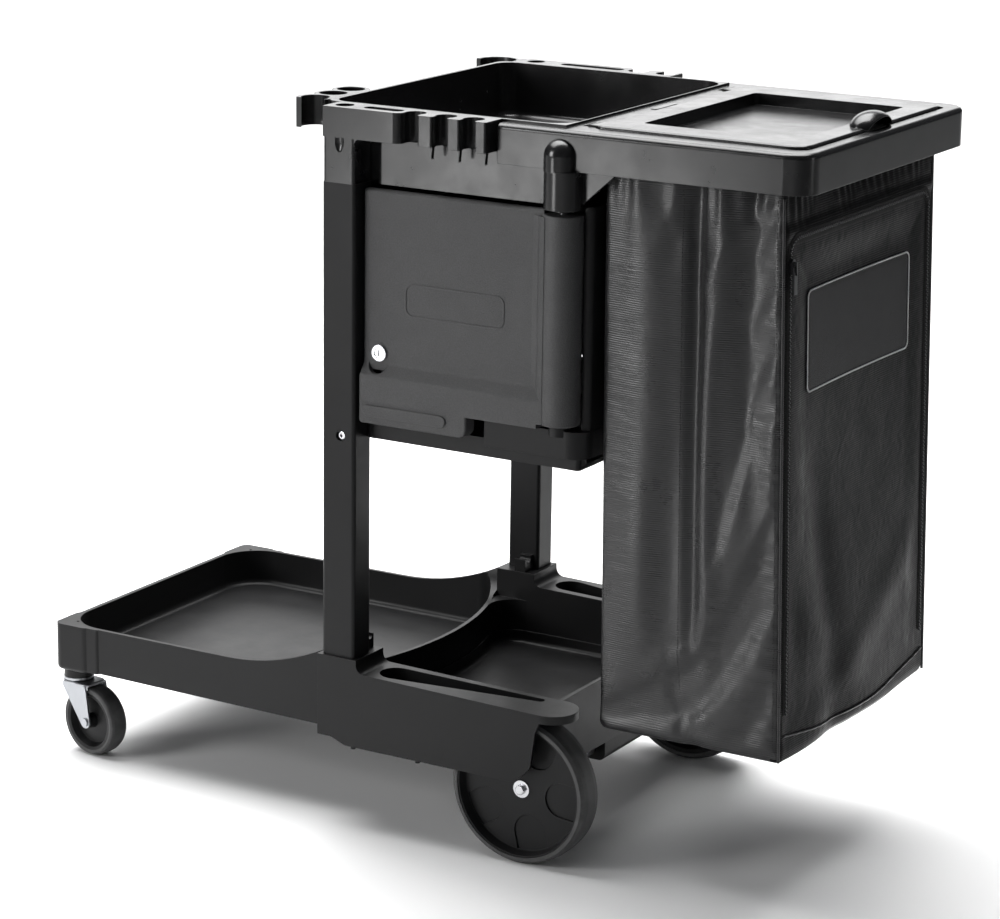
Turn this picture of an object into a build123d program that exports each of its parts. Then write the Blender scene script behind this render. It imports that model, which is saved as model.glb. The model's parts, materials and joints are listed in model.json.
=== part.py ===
from build123d import *
import math
import os

# Housekeeping cart, in millimetres.
# A low front platform on two swivel casters is joined to a rear deck on two large wheels.
# Two uprights carry a lockable cabinet and a tool tray, and a frame with a lid holds a vinyl bag.
# X runs from the platform (-X) to the bag (+X), the left side is -Y, +Z is up, and the origin is
# on the floor under the middle of the cart.

# ---- driving dimensions ------------------------------------------------------------------
FRONT_X = -584.0
REAR_X = 584.0
SEAM_X = -107.0              # where the front platform meets the rear deck

# front platform
PLATFORM_HALF_WIDTH = 235.0
PLATFORM_CAVITY_HALF_WIDTH = 229.0
PLATFORM_FLOOR = (134.0, 140.0)
PLATFORM_WALL_Z = 194.0
PLATFORM_RISE_X = -285.0     # the wall starts to sweep up here
SEAT_Z = 242.0               # top of the seats that the uprights stand on
CORNER_BLOCK_Z = (124.0, 194.0)
DIVIDER_CENTRE_X = -574.0    # the divider between the two trays is an arc about this point
DIVIDER_RADIUS = 500.0
DIVIDER_THICKNESS = 6.0
DIVIDER_Z = 200.0

# rear deck
POD_OUTER_Y = 274.0
POD_INNER_Y = 205.0
POD_REAR_X = 240.0
POD_TOP_FRONT_Z = 223.5
POD_TOP_REAR_Z = 218.0
POD_BOTTOM_Z = 118.0
DECK_FLOOR = (130.0, 136.0)
DECK_REAR_X = 235.0
DECK_REAR_WALL_Z = 217.0
NOSE_RADIUS = 35.0
PANEL_WALL = 5.0
INNER_WALL = 6.0

# wheels and casters
AXLE_X = 202.0
WHEEL_RADIUS = 101.6
WHEEL_Y = (219.0, 264.0)
AXLE_RADIUS = 8.0
BOLT_RADIUS = 3.0
RUNNING_GAP = 0.05
CASTER_X = -562.0
CASTER_Y = 211.0
CASTER_TRAIL = 33.0
CASTER_HEADING = -9.0        # the way the casters trail, in degrees from +X
CASTER_RADIUS = 50.8
CASTER_HUB_RADIUS = 42.5
CASTER_HALF_WIDTH = 16.0
CASTER_PIN_RADIUS = 6.0
RACEWAY_RADIUS = 22.0
RACEWAY_Z = (107.4, 111.5)
CROWN_Z = (103.6, 107.0)
FORK_HALF_WIDTH = 21.4
FORK_SHEET = 2.6

# uprights, legs and rails
POST_X = (-102.0, -51.0)
POST_Y = (228.0, 270.0)
POST_TOP_Z = 888.5
RAIL_Z = (948.0, 988.0)
RAIL_END_X = 145.0
NOTCH_RADIUS = 14.0
SCREW_X = -72.6
SCREW_Z = 549.5

# top tray
TRAY_X = (-124.0, 241.0)
TRAY_HALF_WIDTH = 228.0
TRAY_Z = (888.0, 988.0)
TRAY_FLOOR_Z = 910.0
TRAY_WALL = 5.0
SKIRT_X = -35.0
SKIRT_Y = 243.0

# bag frame and lid
FRAME_ARM_X = 151.0
FRAME_HALF_WIDTH = 250.0
FRAME_Z = (934.0, 985.0)
FRAME_WALL = 6.0
FRAME_CORNER = 33.0
LID_X = (270.0, 562.0)
LID_HALF_WIDTH = 212.0
LID_TOP_Z = 988.5
LID_SEAT_Z = 974.0
LID_HINGE_X = 258.0
LID_HINGE_Z = 981.0
LID_EAR_Y = 187.0
LID_PIN_RADIUS = 2.5
LID_GAP = 0.4

# cabinet
SHELF_X = (-98.0, 285.0)
SHELF_Z = (545.0, 598.0)
SHELF_HALF_WIDTH = 252.0
SHELF_INNER_HALF_WIDTH = 240.0
SHELF_RIM_X = 138.0
HINGE_X = 245.0
HINGE_Y = 243.0
HINGE_POST_RADIUS = 26.0
BARREL_RADIUS = 26.5
BARREL_Z = (605.0, 878.0)
DOOR_PIN_RADIUS = 5.0
DOOR_X = -47.0               # free edge of a closed door
DOOR_FACE_Y = 254.0
DOOR_BULGE_Y = 266.0
DOOR_INNER_Y = 244.0
DOOR_Z = (571.0, 883.0)
DOOR_WALL = 4.0
LOCK_X = -22.0
LOCK_Z = 666.0

# bag
BAG_TOP_X = (296.5, 543.5)
BAG_BOTTOM_X = (303.5, 564.5)
BAG_HALF_WIDTH = 228.0
BAG_Z = (197.0, 960.0)
BAG_WALL = 3.0
ZIP_Y = -211.0               # the vertical run of the zip
ZIP_TOP_Z = 873.0
ZIP_BOTTOM_Z = 262.0
ZIP_TAPE = 16.0


# ---- building blocks ---------------------------------------------------------------------
def block(x, y, z):
    """A box between the limits given for each axis."""
    return Pos(sum(x) / 2, sum(y) / 2, sum(z) / 2) * Box(x[1] - x[0], y[1] - y[0], z[1] - z[0])


def rod_y(x, z, radius, y):
    return Pos(x, sum(y) / 2, z) * Rot(90, 0, 0) * Cylinder(radius, y[1] - y[0])


def rod_z(x, y, radius, z):
    return Pos(x, y, sum(z) / 2) * Cylinder(radius, z[1] - z[0])


def area(x, y, radius=0.0):
    """A rectangle between two pairs of limits, with rounded corners if a radius is given."""
    width = x[1] - x[0]
    height = y[1] - y[0]
    shape = RectangleRounded(width, height, radius) if radius else Rectangle(width, height)
    return Pos(sum(x) / 2, sum(y) / 2) * shape


def filled(*curves):
    """The face inside curves that join end to end."""
    return make_face([edge for curve in curves for edge in curve.edges()])


def polygon(*points):
    return make_face(Polyline(*points, close=True))


def obround(start, end, radius):
    """Two circles and the straight sides that touch them both."""
    middle = ((start[0] + end[0]) / 2, (start[1] + end[1]) / 2)
    length = math.dist(start, end)
    turn = math.degrees(math.atan2(end[1] - start[1], end[0] - start[0]))
    return Pos(*middle) * Rot(0, 0, turn) * SlotCenterToCenter(length, 2 * radius)


def tapered(start, start_radius, end, end_radius):
    """The outline round two circles of different size."""
    circles = (Pos(*start) * Circle(start_radius)).edges() + (Pos(*end) * Circle(end_radius)).edges()
    return make_hull(circles)


def raised(sketch, z):
    """A plan outline raised between two heights."""
    return extrude(Pos(0, 0, z[0]) * sketch, z[1] - z[0])


def across(sketch, y):
    """An outline drawn in X and Z, running across the cart between two widths."""
    plane = Plane(origin=(0, y[1], 0), x_dir=(1, 0, 0), z_dir=(0, -1, 0))
    return extrude(plane * sketch, y[1] - y[0])


def along(sketch, x):
    """An outline drawn in Y and Z, running along the cart between two lengths."""
    plane = Plane(origin=(x[0], 0, 0), x_dir=(0, 1, 0), z_dir=(1, 0, 0))
    return extrude(plane * sketch, x[1] - x[0])


def right_of(left_part):
    """The same part on the right-hand side of the cart."""
    return mirror(left_part, about=Plane.XZ)


def corners(sketch, x):
    """The corners of an outline whose X lies between the limits."""
    return [v for v in sketch.vertices() if x[0] <= v.X <= x[1]]


def corners_at(sketch, point):
    return [v for v in sketch.vertices() if math.dist((v.X, v.Y), point) < 0.01]


def top_edges(part, z):
    """Edges that lie wholly in the horizontal plane at height z."""
    return [
        edge for edge in part.edges()
        if abs(edge.bounding_box().min.Z - z) < 0.01 and abs(edge.bounding_box().max.Z - z) < 0.01
    ]


# ---- front platform ----------------------------------------------------------------------
def platform_plan():
    """Plan of the front platform, with the bulge of the divider at the rear."""
    body = area((FRONT_X + 3, SEAM_X), (-PLATFORM_HALF_WIDTH, PLATFORM_HALF_WIDTH))
    bulge = Pos(DIVIDER_CENTRE_X, 0) * Circle(DIVIDER_RADIUS + DIVIDER_THICKNESS)
    return body + (bulge & area((DIVIDER_CENTRE_X, 0), (-POD_INNER_Y, POD_INNER_Y)))


def platform_cavity_plan():
    disc = Pos(DIVIDER_CENTRE_X, 0) * Circle(DIVIDER_RADIUS)
    width = (-PLATFORM_CAVITY_HALF_WIDTH, PLATFORM_CAVITY_HALF_WIDTH)
    shape = disc & area((FRONT_X + 10, 0), width)
    shape = fillet(corners(shape, (-600, -500)), 60)
    return fillet(corners(shape, (-200, 0)), 42)


def platform_profile():
    """Side view of the platform: a level wall that sweeps up to the seats."""
    level = Line((FRONT_X, PLATFORM_WALL_Z), (PLATFORM_RISE_X, PLATFORM_WALL_Z))
    sweep_up = TangentArc((PLATFORM_RISE_X, PLATFORM_WALL_Z), (SEAM_X, SEAT_Z), tangent=(1, 0))
    rest = Polyline((SEAM_X, SEAT_Z), (0, SEAT_Z), (0, 123), (FRONT_X, 129), (FRONT_X, PLATFORM_WALL_Z))
    return filled(level, sweep_up, rest)


def divider_relief():
    """What is taken off above the divider, with a sweep up to the seats on both sides."""
    flat = 176.0
    low = Line((-flat, DIVIDER_Z), (flat, DIVIDER_Z))
    right = TangentArc((flat, DIVIDER_Z), (PLATFORM_CAVITY_HALF_WIDTH, SEAT_Z), tangent=(1, 0))
    left = TangentArc((-flat, DIVIDER_Z), (-PLATFORM_CAVITY_HALF_WIDTH, SEAT_Z), tangent=(-1, 0))
    lid = Polyline(
        (PLATFORM_CAVITY_HALF_WIDTH, SEAT_Z), (PLATFORM_CAVITY_HALF_WIDTH, 260),
        (-PLATFORM_CAVITY_HALF_WIDTH, 260), (-PLATFORM_CAVITY_HALF_WIDTH, SEAT_Z),
    )
    return along(filled(low, right, lid, left), (-190, 0))


def corner_block():
    """A caster corner of the platform, with a narrower pilaster behind it."""
    main = raised(area((FRONT_X, -522), (-240, -176), 13), CORNER_BLOCK_Z)
    main = fillet(main.faces().sort_by(Axis.Z)[0].edges(), 7)
    pilaster = raised(area((-545, -507), (-237.5, -190), 5), (127.5, PLATFORM_WALL_Z))
    return main + pilaster


def platform_ribs():
    """Stiffening ribs under the floor."""
    lengthwise = [block((FRONT_X + 10, -175), (y - 2, y + 2), (127, 135)) for y in (-110, 0, 110)]
    crosswise = [block((x - 2, x + 2), (-229, 229), (127, 135)) for x in (-470, -360, -250)]
    return lengthwise + crosswise


def make_front_platform():
    cavity = platform_cavity_plan()
    body = raised(platform_plan(), (100, 260)) & across(platform_profile(), (-300, 300))
    body -= raised(cavity, (100, PLATFORM_FLOOR[0]))
    body -= block((-175, 0), (-190, 190), (100, PLATFORM_FLOOR[0]))
    body += corner_block() + right_of(corner_block())
    for rib in platform_ribs():
        body += rib
    body -= raised(cavity, (PLATFORM_FLOOR[1], 300))
    body -= divider_relief()
    body = fillet(top_edges(body, PLATFORM_FLOOR[1]), 9)
    for y in (-CASTER_Y, CASTER_Y):
        body += rod_z(CASTER_X, y, RACEWAY_RADIUS - 0.8, (RACEWAY_Z[1], 130))
        body -= rod_z(CASTER_X, y, 5.55, (100, 137))
        body -= Pos(CASTER_X + 5, y * 1.03, PLATFORM_WALL_Z) * Sphere(2.2)
    for x, y in deck_bolt_places():
        body -= rod_z(x, y, 3.05, (100, 138))
    return body


def deck_bolt_places():
    return [(-140, y) for y in (-150, -50, 50, 150)]


# ---- rear deck ---------------------------------------------------------------------------
def pod_profile():
    """Side view of a pod: the seat, the long sloping top and the stepped lower edge."""
    seat_rear = -45.0
    seat = Polyline((SEAM_X, 127), (SEAM_X, SEAT_Z), (seat_rear, SEAT_Z), (seat_rear, 236))
    ramp = TangentArc((seat_rear, 236), (seat_rear + 13, POD_TOP_FRONT_Z), tangent=(0, -1))
    top = Line((seat_rear + 13, POD_TOP_FRONT_Z), (POD_REAR_X, POD_TOP_REAR_Z))
    rear = Polyline(
        (POD_REAR_X, POD_TOP_REAR_Z), (POD_REAR_X, 207), (234, 193), (227, 141), (203, POD_BOTTOM_Z),
        (-62, POD_BOTTOM_Z), (-85, 127), (SEAM_X, 127),
    )
    shape = filled(seat, ramp, top, rear)
    shape = fillet(corners_at(shape, (227, 141)), 20)
    shape = fillet(corners_at(shape, (203, POD_BOTTOM_Z)), 22)
    shape = fillet(corners_at(shape, (234, 193)), 12)
    shape = fillet(corners_at(shape, (-62, POD_BOTTOM_Z)), 16)
    return fillet(corners_at(shape, (-85, 127)), 12)


def pod_slot_plan(grow=0.0):
    """The long tool slot in a pod's top, wide in front and narrow behind."""
    return tapered((-1, -240), 23 + grow, (211, -220), 6 + grow)


def slot_floor_profile(drop=0.0):
    """Space above the sloping floor of the tool slot, which clears the wheel underneath."""
    return polygon(
        (-60, 166 - drop), (-10, 166 - drop), (142, 209 - drop), (260, 209 - drop), (260, 260), (-60, 260),
    )


def make_pod():
    """The left pod of the rear deck, a hollow shell that the wheel runs in."""
    pod = across(pod_profile(), (-POD_OUTER_Y, -POD_INNER_Y))
    hollow_y = (-POD_OUTER_Y + PANEL_WALL, -POD_INNER_Y - INNER_WALL)
    pod -= block((SEAM_X + 6, -50), hollow_y, (90, 236))
    pod -= block((SEAM_X + 6, 300), hollow_y, (90, 211.5))
    trough = raised(pod_slot_plan(3), (150, 214)) & across(slot_floor_profile(3), (-300, -200))
    pod += trough
    pod += raised(Pos(POD_REAR_X, -239) * Circle(NOSE_RADIUS), (206.5, POD_TOP_REAR_Z))
    pod -= raised(pod_slot_plan(), (150, 260)) & across(slot_floor_profile(), (-300, -200))
    pod -= block((60, 300), hollow_y, (90, 205.5))
    pod += axle_ear()
    for x in (-51, 52):
        pod += rod_z(x, -270.5, 3.4, (115, 124))
    return pod


def axle_ear():
    """The tab of the pod's inner wall that carries the axle."""
    y = (-POD_INNER_Y - INNER_WALL, -POD_INNER_Y)
    tab = across(tapered((AXLE_X, WHEEL_RADIUS), 20, (AXLE_X, 150), 34), y)
    return tab - rod_y(AXLE_X, WHEEL_RADIUS, AXLE_RADIUS + RUNNING_GAP, (-250, -150))


def rear_tray_plan(inset=0.0):
    disc = Pos(DIVIDER_CENTRE_X, 0) * Circle(DIVIDER_RADIUS + DIVIDER_THICKNESS + inset)
    width = (-POD_INNER_Y + inset, POD_INNER_Y - inset)
    shape = area((-150, DECK_REAR_X - 6 - inset), width) - disc
    shape = fillet(corners(shape, (-150, 0)), 38 - inset)
    return fillet(corners(shape, (200, 260)), 18 - inset)


def make_rear_deck():
    width = (-POD_INNER_Y, POD_INNER_Y)
    deck = block((-130, DECK_REAR_X), width, (DECK_FLOOR[0], DIVIDER_Z))
    deck -= raised(rear_tray_plan(2.5), (DECK_FLOOR[1], 155))
    deck -= raised(rear_tray_plan(), (154, 300))
    deck += block((DECK_REAR_X - 6, DECK_REAR_X), width, (POD_BOTTOM_Z + 4, DECK_REAR_WALL_Z))
    deck -= raised(platform_plan(), (90, 300))
    deck += block((-170, -60), (-188, 188), (128, PLATFORM_FLOOR[0]))
    deck = fillet(top_edges(deck, DECK_FLOOR[1]), 7)
    deck += make_pod() + right_of(make_pod())
    deck += [block((-20, DECK_REAR_X - 3), (y - 2, y + 2), (124, 131)) for y in (-120, 120)]
    for x, y in deck_bolt_places():
        deck -= rod_z(x, y, 3.05, (100, 150))
    for x in (AXLE_X - 17, AXLE_X + 17):
        deck -= rod_z(x, 0, 3.05, (120, 135))
    return deck


def make_deck_bolts():
    """Screws that hold the rear deck's lap under the platform floor."""
    return [
        rod_z(x, y, 3, (128, 138)) + rod_z(x, y, 6, (124, 128)) - rod_z(x, y, 2.4, (123, 126))
        for x, y in deck_bolt_places()
    ]


def make_axle_hanger():
    """The block under the deck that carries the middle of the axle."""
    body = block((AXLE_X - 24, AXLE_X + 24), (-65, 65), (88, DECK_FLOOR[0]))
    body = fillet(body.edges().filter_by(Axis.Y).group_by(Axis.Z)[0], 10)
    for y in (-44, 0, 44):
        body -= block((AXLE_X - 15, AXLE_X + 15), (y - 14, y + 14), (114, DECK_FLOOR[0] - 3))
    body -= rod_y(AXLE_X, WHEEL_RADIUS, AXLE_RADIUS + RUNNING_GAP, (-100, 100))
    return body


def make_axle_rod():
    """Steel rod through both wheels, bored at each end for a bolt."""
    rod = rod_y(AXLE_X, WHEEL_RADIUS, AXLE_RADIUS, (-249.5, 249.5))
    rod = chamfer(rod.faces().filter_by(GeomType.PLANE).edges(), 0.8)
    for y in ((-260, -232), (232, 260)):
        rod -= rod_y(AXLE_X, WHEEL_RADIUS, BOLT_RADIUS + RUNNING_GAP, y)
    return rod


# ---- rear wheels -------------------------------------------------------------------------
def turned_y(points, x, z):
    """A solid of revolution about a cross-wise axis; points are (radius, Y)."""
    sketch = Plane.XY * polygon(*points)
    return Pos(x, 0, z) * revolve(sketch, Axis.Y)


def make_wheel_hub():
    """Left wheel disc: a deep rim, a recessed face with five shallow lobes, and an inner boss."""
    bore = AXLE_RADIUS + RUNNING_GAP
    outer_y, inner_y = -WHEEL_Y[1], -WHEEL_Y[0]
    face_y = outer_y + 14
    hub = turned_y([
        (bore, face_y), (86, face_y), (89.5, outer_y + 1.5), (92, outer_y + 1.5),
        (92, inner_y - 1.5), (86, inner_y - 1.5), (82, face_y + 9), (24, face_y + 9), (20, -211.6),
        (bore, -211.6),
    ], 0, 0)
    lobe = obround((60, 0), (100, 0), 24) & (Circle(85.5) - Circle(30))
    for turn in range(5):
        recess = across(Rot(0, 0, 72 * turn - 77) * lobe, (face_y - 5, face_y + 2.5))
        hub -= recess
    for turn in range(5):
        rib = across(Rot(0, 0, 72 * turn - 41) * area((20, 84), (-2.5, 2.5)), (face_y + 8, inner_y - 6))
        hub += rib
    return Pos(AXLE_X, 0, WHEEL_RADIUS) * hub


def make_wheel_tyre():
    outer_y, inner_y = -WHEEL_Y[1], -WHEEL_Y[0]
    edge = 97.0
    points = [
        (92, outer_y), (edge, outer_y), (100.6, outer_y + 5), (WHEEL_RADIUS, outer_y + 13),
        (WHEEL_RADIUS, inner_y - 13), (100.6, inner_y - 5), (edge, inner_y), (92, inner_y),
    ]
    return turned_y(points, AXLE_X, WHEEL_RADIUS)


def make_axle_washer():
    washer = rod_y(AXLE_X, WHEEL_RADIUS, 12, (-252, -250.2))
    return washer - rod_y(AXLE_X, WHEEL_RADIUS, BOLT_RADIUS + RUNNING_GAP, (-258, -245))


def make_axle_cap():
    """Hexagon-headed bolt in the end of the axle, which keeps the wheel on."""
    head = across(Pos(AXLE_X, WHEEL_RADIUS) * RegularPolygon(7.2, 6), (-257.2, -252))
    head = chamfer(head.faces().sort_by(Axis.Y)[0].edges(), 0.8)
    return head + rod_y(AXLE_X, WHEEL_RADIUS, BOLT_RADIUS, (-252.5, -236))


# ---- casters -----------------------------------------------------------------------------
def at_caster(part):
    """Moves a part made about the left caster's swivel axis, trailing along +X, into place."""
    return Pos(CASTER_X, -CASTER_Y, 0) * Rot(0, 0, CASTER_HEADING) * part


def at_right_caster(part):
    return Pos(CASTER_X, CASTER_Y, 0) * Rot(0, 0, CASTER_HEADING) * part


def caster_mount():
    """Stem, raceway plate and headed kingpin."""
    plate = rod_z(0, 0, RACEWAY_RADIUS, RACEWAY_Z)
    plate = fillet(plate.faces().sort_by(Axis.Z)[0].edges(), 1.2)
    stem = rod_z(0, 0, 5.5, (RACEWAY_Z[1], 136))
    pin = rod_z(0, 0, CASTER_PIN_RADIUS, (102, RACEWAY_Z[0])) + rod_z(0, 0, 8.5, (100.4, 103.2))
    return plate + stem + pin


def caster_leg_outline():
    """Side view of a fork leg, which tapers from the crown down to the axle."""
    crown_corners = Polyline((-12, CROWN_Z[1]), (33, CROWN_Z[1]), (35, 98), (-12, 98), close=True)
    return make_hull(crown_corners.edges() + (Pos(CASTER_TRAIL, CASTER_RADIUS) * Circle(9)).edges())


def caster_fork():
    """Pressed steel fork: a crown that is folded down into two tapering legs."""
    plan = area((-21, 36), (-FORK_HALF_WIDTH, FORK_HALF_WIDTH))
    plan = fillet(corners(plan, (-22, -20)), 19)
    plan = fillet(corners(plan, (35, 37)), 9)
    crown = raised(plan, (98, CROWN_Z[1]))
    crown = fillet(crown.faces().sort_by(Axis.Z)[-1].edges(), 2.2)
    crown -= raised(offset(plan, -FORK_SHEET), (90, CROWN_Z[0]))
    crown -= block((-40, 60), (-FORK_HALF_WIDTH + 5, FORK_HALF_WIDTH - 5), (90, 103))
    fork = crown
    for side in (-1, 1):
        y = sorted((side * FORK_HALF_WIDTH, side * (FORK_HALF_WIDTH - FORK_SHEET)))
        fork += across(caster_leg_outline(), y) - block((-40, 60), (-30, 30), (CROWN_Z[0] + 0.5, 120))
    fork -= rod_z(0, 0, CASTER_PIN_RADIUS + RUNNING_GAP, (90, 121))
    return fork - rod_y(CASTER_TRAIL, CASTER_RADIUS, 4.05, (-30, 30))


def caster_axle():
    """Rivet with a head at each side of the fork."""
    body = rod_y(CASTER_TRAIL, CASTER_RADIUS, 4, (-FORK_HALF_WIDTH, FORK_HALF_WIDTH))
    for side in (-1, 1):
        head_y = sorted((side * FORK_HALF_WIDTH, side * (FORK_HALF_WIDTH + 2.4)))
        body += rod_y(CASTER_TRAIL, CASTER_RADIUS, 6.2, head_y)
    return body


def caster_hub():
    """Deep-dished hub with a long boss."""
    half = CASTER_HALF_WIDTH
    rim = CASTER_HUB_RADIUS
    points = [
        (4.05, -half - 2), (9, -half - 2), (11, -6), (34, -4), (38, -half + 2), (rim, -half + 1),
        (rim, half - 1), (38, half - 2), (34, 4), (11, 6), (9, half + 2), (4.05, half + 2),
    ]
    return turned_y(points, CASTER_TRAIL, CASTER_RADIUS)


def caster_tyre():
    half = CASTER_HALF_WIDTH
    rim = CASTER_HUB_RADIUS
    points = [
        (rim, -half + 1), (46, -half), (48.8, -half + 2), (50.3, -half + 6), (CASTER_RADIUS, -half + 11),
        (CASTER_RADIUS, half - 11), (50.3, half - 6), (48.8, half - 2), (46, half), (rim, half - 1),
    ]
    return turned_y(points, CASTER_TRAIL, CASTER_RADIUS)


# ---- uprights and tool rails -------------------------------------------------------------
def post_plan(inset=0.0):
    x = (POST_X[0] + inset, POST_X[1] - inset)
    y = (-POST_Y[1] + inset, -POST_Y[0] - inset)
    return area(x, y, 5 - 0.8 * inset)


def make_upright():
    """Left upright: a square tube with a screw boss, a latch slot and a cord cleat at its foot."""
    wall = 4.0
    tube = raised(post_plan() - post_plan(wall), (SEAT_Z, POST_TOP_Z))
    tube += raised(post_plan(1), (POST_TOP_Z - 6, POST_TOP_Z))
    boss_y = (-POST_Y[1] + 2, -POST_Y[0] - 1)
    tube += rod_y(SCREW_X, SCREW_Z, 10, boss_y)
    tube -= rod_y(SCREW_X, SCREW_Z, 3.05, (-280, -220))
    tube -= rod_y(SCREW_X, SCREW_Z, 7, (-280, -263))
    tube -= block((-60, -45), (-248, -236), (LOCK_Z - 19, LOCK_Z + 15))
    cleat = along(
        area((-POST_Y[0], -206), (SEAT_Z, 264)) - Pos(-215, 261) * Circle(7) - area((-214, -200), (261, 266)),
        (-78, -60),
    )
    return tube + cleat


def make_upright_screw():
    """Screw that fastens the left upright to the cabinet shelf."""
    head = rod_y(SCREW_X, SCREW_Z, 6, (-267, -263))
    head = fillet(head.faces().sort_by(Axis.Y)[0].edges(), 1.5)
    head -= across(Pos(SCREW_X, SCREW_Z) * RegularPolygon(3, 6), (-268, -264.5))
    return head + rod_y(SCREW_X, SCREW_Z, 3, (-264, -214))


def rail_blank(notches, end_x):
    """Plan of a tool rail: a solid front part and open notches between prongs behind it."""
    outer_y = -POST_Y[1]
    shape = area((POST_X[0] + 1, RAIL_END_X), (outer_y, -TRAY_HALF_WIDTH))
    for centre, low, high in notches:
        shape -= Pos(centre, -252) * Circle(NOTCH_RADIUS)
        shape -= area((low, high), (outer_y - 1, -252))
    shape = fillet(corners_at(shape, (end_x, outer_y)), 12)
    rest = [v for v in shape.vertices() if abs(v.Y - outer_y) < 0.01 and v.X > end_x]
    return fillet(rest, 3)


def rail_leg():
    """The leg under the front of a rail, and the arch beside it."""
    leg = raised(area((POST_X[0] + 1, POST_X[1] - 1), (-POST_Y[1], -POST_Y[0]), 5), (888.5, RAIL_Z[0] + 6))
    gusset = polygon((-53, 938), (-53, 950), (-41, 950)) - Pos(-41, 938) * Circle(12)
    dent = Pos(-75, -272, 944) * scale(Sphere(1), by=(7.5, 5.5, 16))
    return leg + across(gusset, (-POST_Y[1], -POST_Y[0])) - dent


def rail_fin(x):
    """A thin pointed rib under a prong."""
    outline = polygon((x - 1.5, 952), (x - 1.5, 948), (x, 932), (x + 1.5, 948), (x + 1.5, 952))
    return across(outline, (-262, -256))


def make_tool_rail(notches, end_x, slot):
    rail = raised(rail_blank(notches, end_x), RAIL_Z)
    rail -= raised(obround((slot[0] + 9, -249), (slot[1] - 9, -249), 9), (900, 1000))
    rail += rail_leg()
    rail -= rod_z(-80, -249, 12.5, (928, 1000))
    prongs = [low for centre, low, high in notches[1:]] + [RAIL_END_X]
    for x in prongs:
        rail += rail_fin(x - 5)
    return rail


def left_notches():
    return [(30, 17, 43), (76, 65, 87), (117, 106, 128)]


def right_notches():
    return [(83, 70, 96), (127, 116, 138)]


# ---- tool tray ---------------------------------------------------------------------------
def make_top_tray():
    """The open tray above the cabinet, with pads along its sides under the rails."""
    width = (-TRAY_HALF_WIDTH, TRAY_HALF_WIDTH)
    tray = raised(area(TRAY_X, width), TRAY_Z)
    front = tray.edges().filter_by(Axis.Z).group_by(Axis.X)[0]
    tray = fillet(front, 16)
    cavity = area(
        (TRAY_X[0] + TRAY_WALL + 1, TRAY_X[1] - TRAY_WALL), (-TRAY_HALF_WIDTH + 4, TRAY_HALF_WIDTH - 4)
    )
    cavity = fillet(corners(cavity, (-200, 0)), 26)
    cavity = fillet(corners(cavity, (0, 300)), 34)
    tray -= raised(cavity, (TRAY_FLOOR_Z, 1100))
    tray = fillet(top_edges(tray, TRAY_FLOOR_Z), 10)
    under_x = (TRAY_X[0] + TRAY_WALL, TRAY_X[1] - TRAY_WALL)
    under = area(under_x, (-TRAY_HALF_WIDTH + 5, TRAY_HALF_WIDTH - 5), 20)
    tray -= raised(under, (800, TRAY_FLOOR_Z - 5))
    tray -= block((238, 260), (-TRAY_HALF_WIDTH - 1, TRAY_HALF_WIDTH + 1), (FRAME_Z[1], 1000))
    for side in (-1, 1):
        y = sorted((side * TRAY_HALF_WIDTH, side * SKIRT_Y))
        pad = raised(area((SKIRT_X, FRAME_ARM_X), y), (TRAY_Z[0], RAIL_Z[0]))
        front_edges = pad.edges().filter_by(Axis.Z).group_by(Axis.X)[0]
        pad = fillet(front_edges.sort_by(lambda e: abs(e.center().Y))[-1], 8)
        skirt_end = HINGE_X - HINGE_POST_RADIUS - 0.5
        tray += pad + block((FRAME_ARM_X - 1, skirt_end), y, (TRAY_Z[0], FRAME_Z[0]))
    return tray


def make_tool_rings():
    """Left front bracket: three rings for tool handles, the first one open to the side."""
    ring_x, outer, inner = -150.0, 25.5, 19.0
    places = (-213.0, -170.0, -127.0)
    shape = Sketch() + [Pos(ring_x, y) * Circle(outer) for y in places]
    shape += area((ring_x, TRAY_X[0]), (places[0] - 6, places[2] + 6))
    for y in places:
        shape -= Pos(ring_x, y) * Circle(inner)
    shape -= area((ring_x - 13, TRAY_X[0] - 4), (-260, places[0]))
    shape -= area((-200, 0), (-260, places[0] - 14))
    return raised(shape, RAIL_Z)


def make_hook_ring():
    """Right front bracket: one large open hook that curls forward from the leg."""
    centre = (-135.0, 235.0)
    leg_face = POST_X[0] + 1
    shape = Pos(*centre) * Circle(33) & area((-200, leg_face), (centre[1] - 6, 300))
    shape += area((leg_face - 12, leg_face), (TRAY_HALF_WIDTH + 0.5, 262))
    shape -= Pos(*centre) * Circle(26.5)
    return raised(shape, RAIL_Z)


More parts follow.
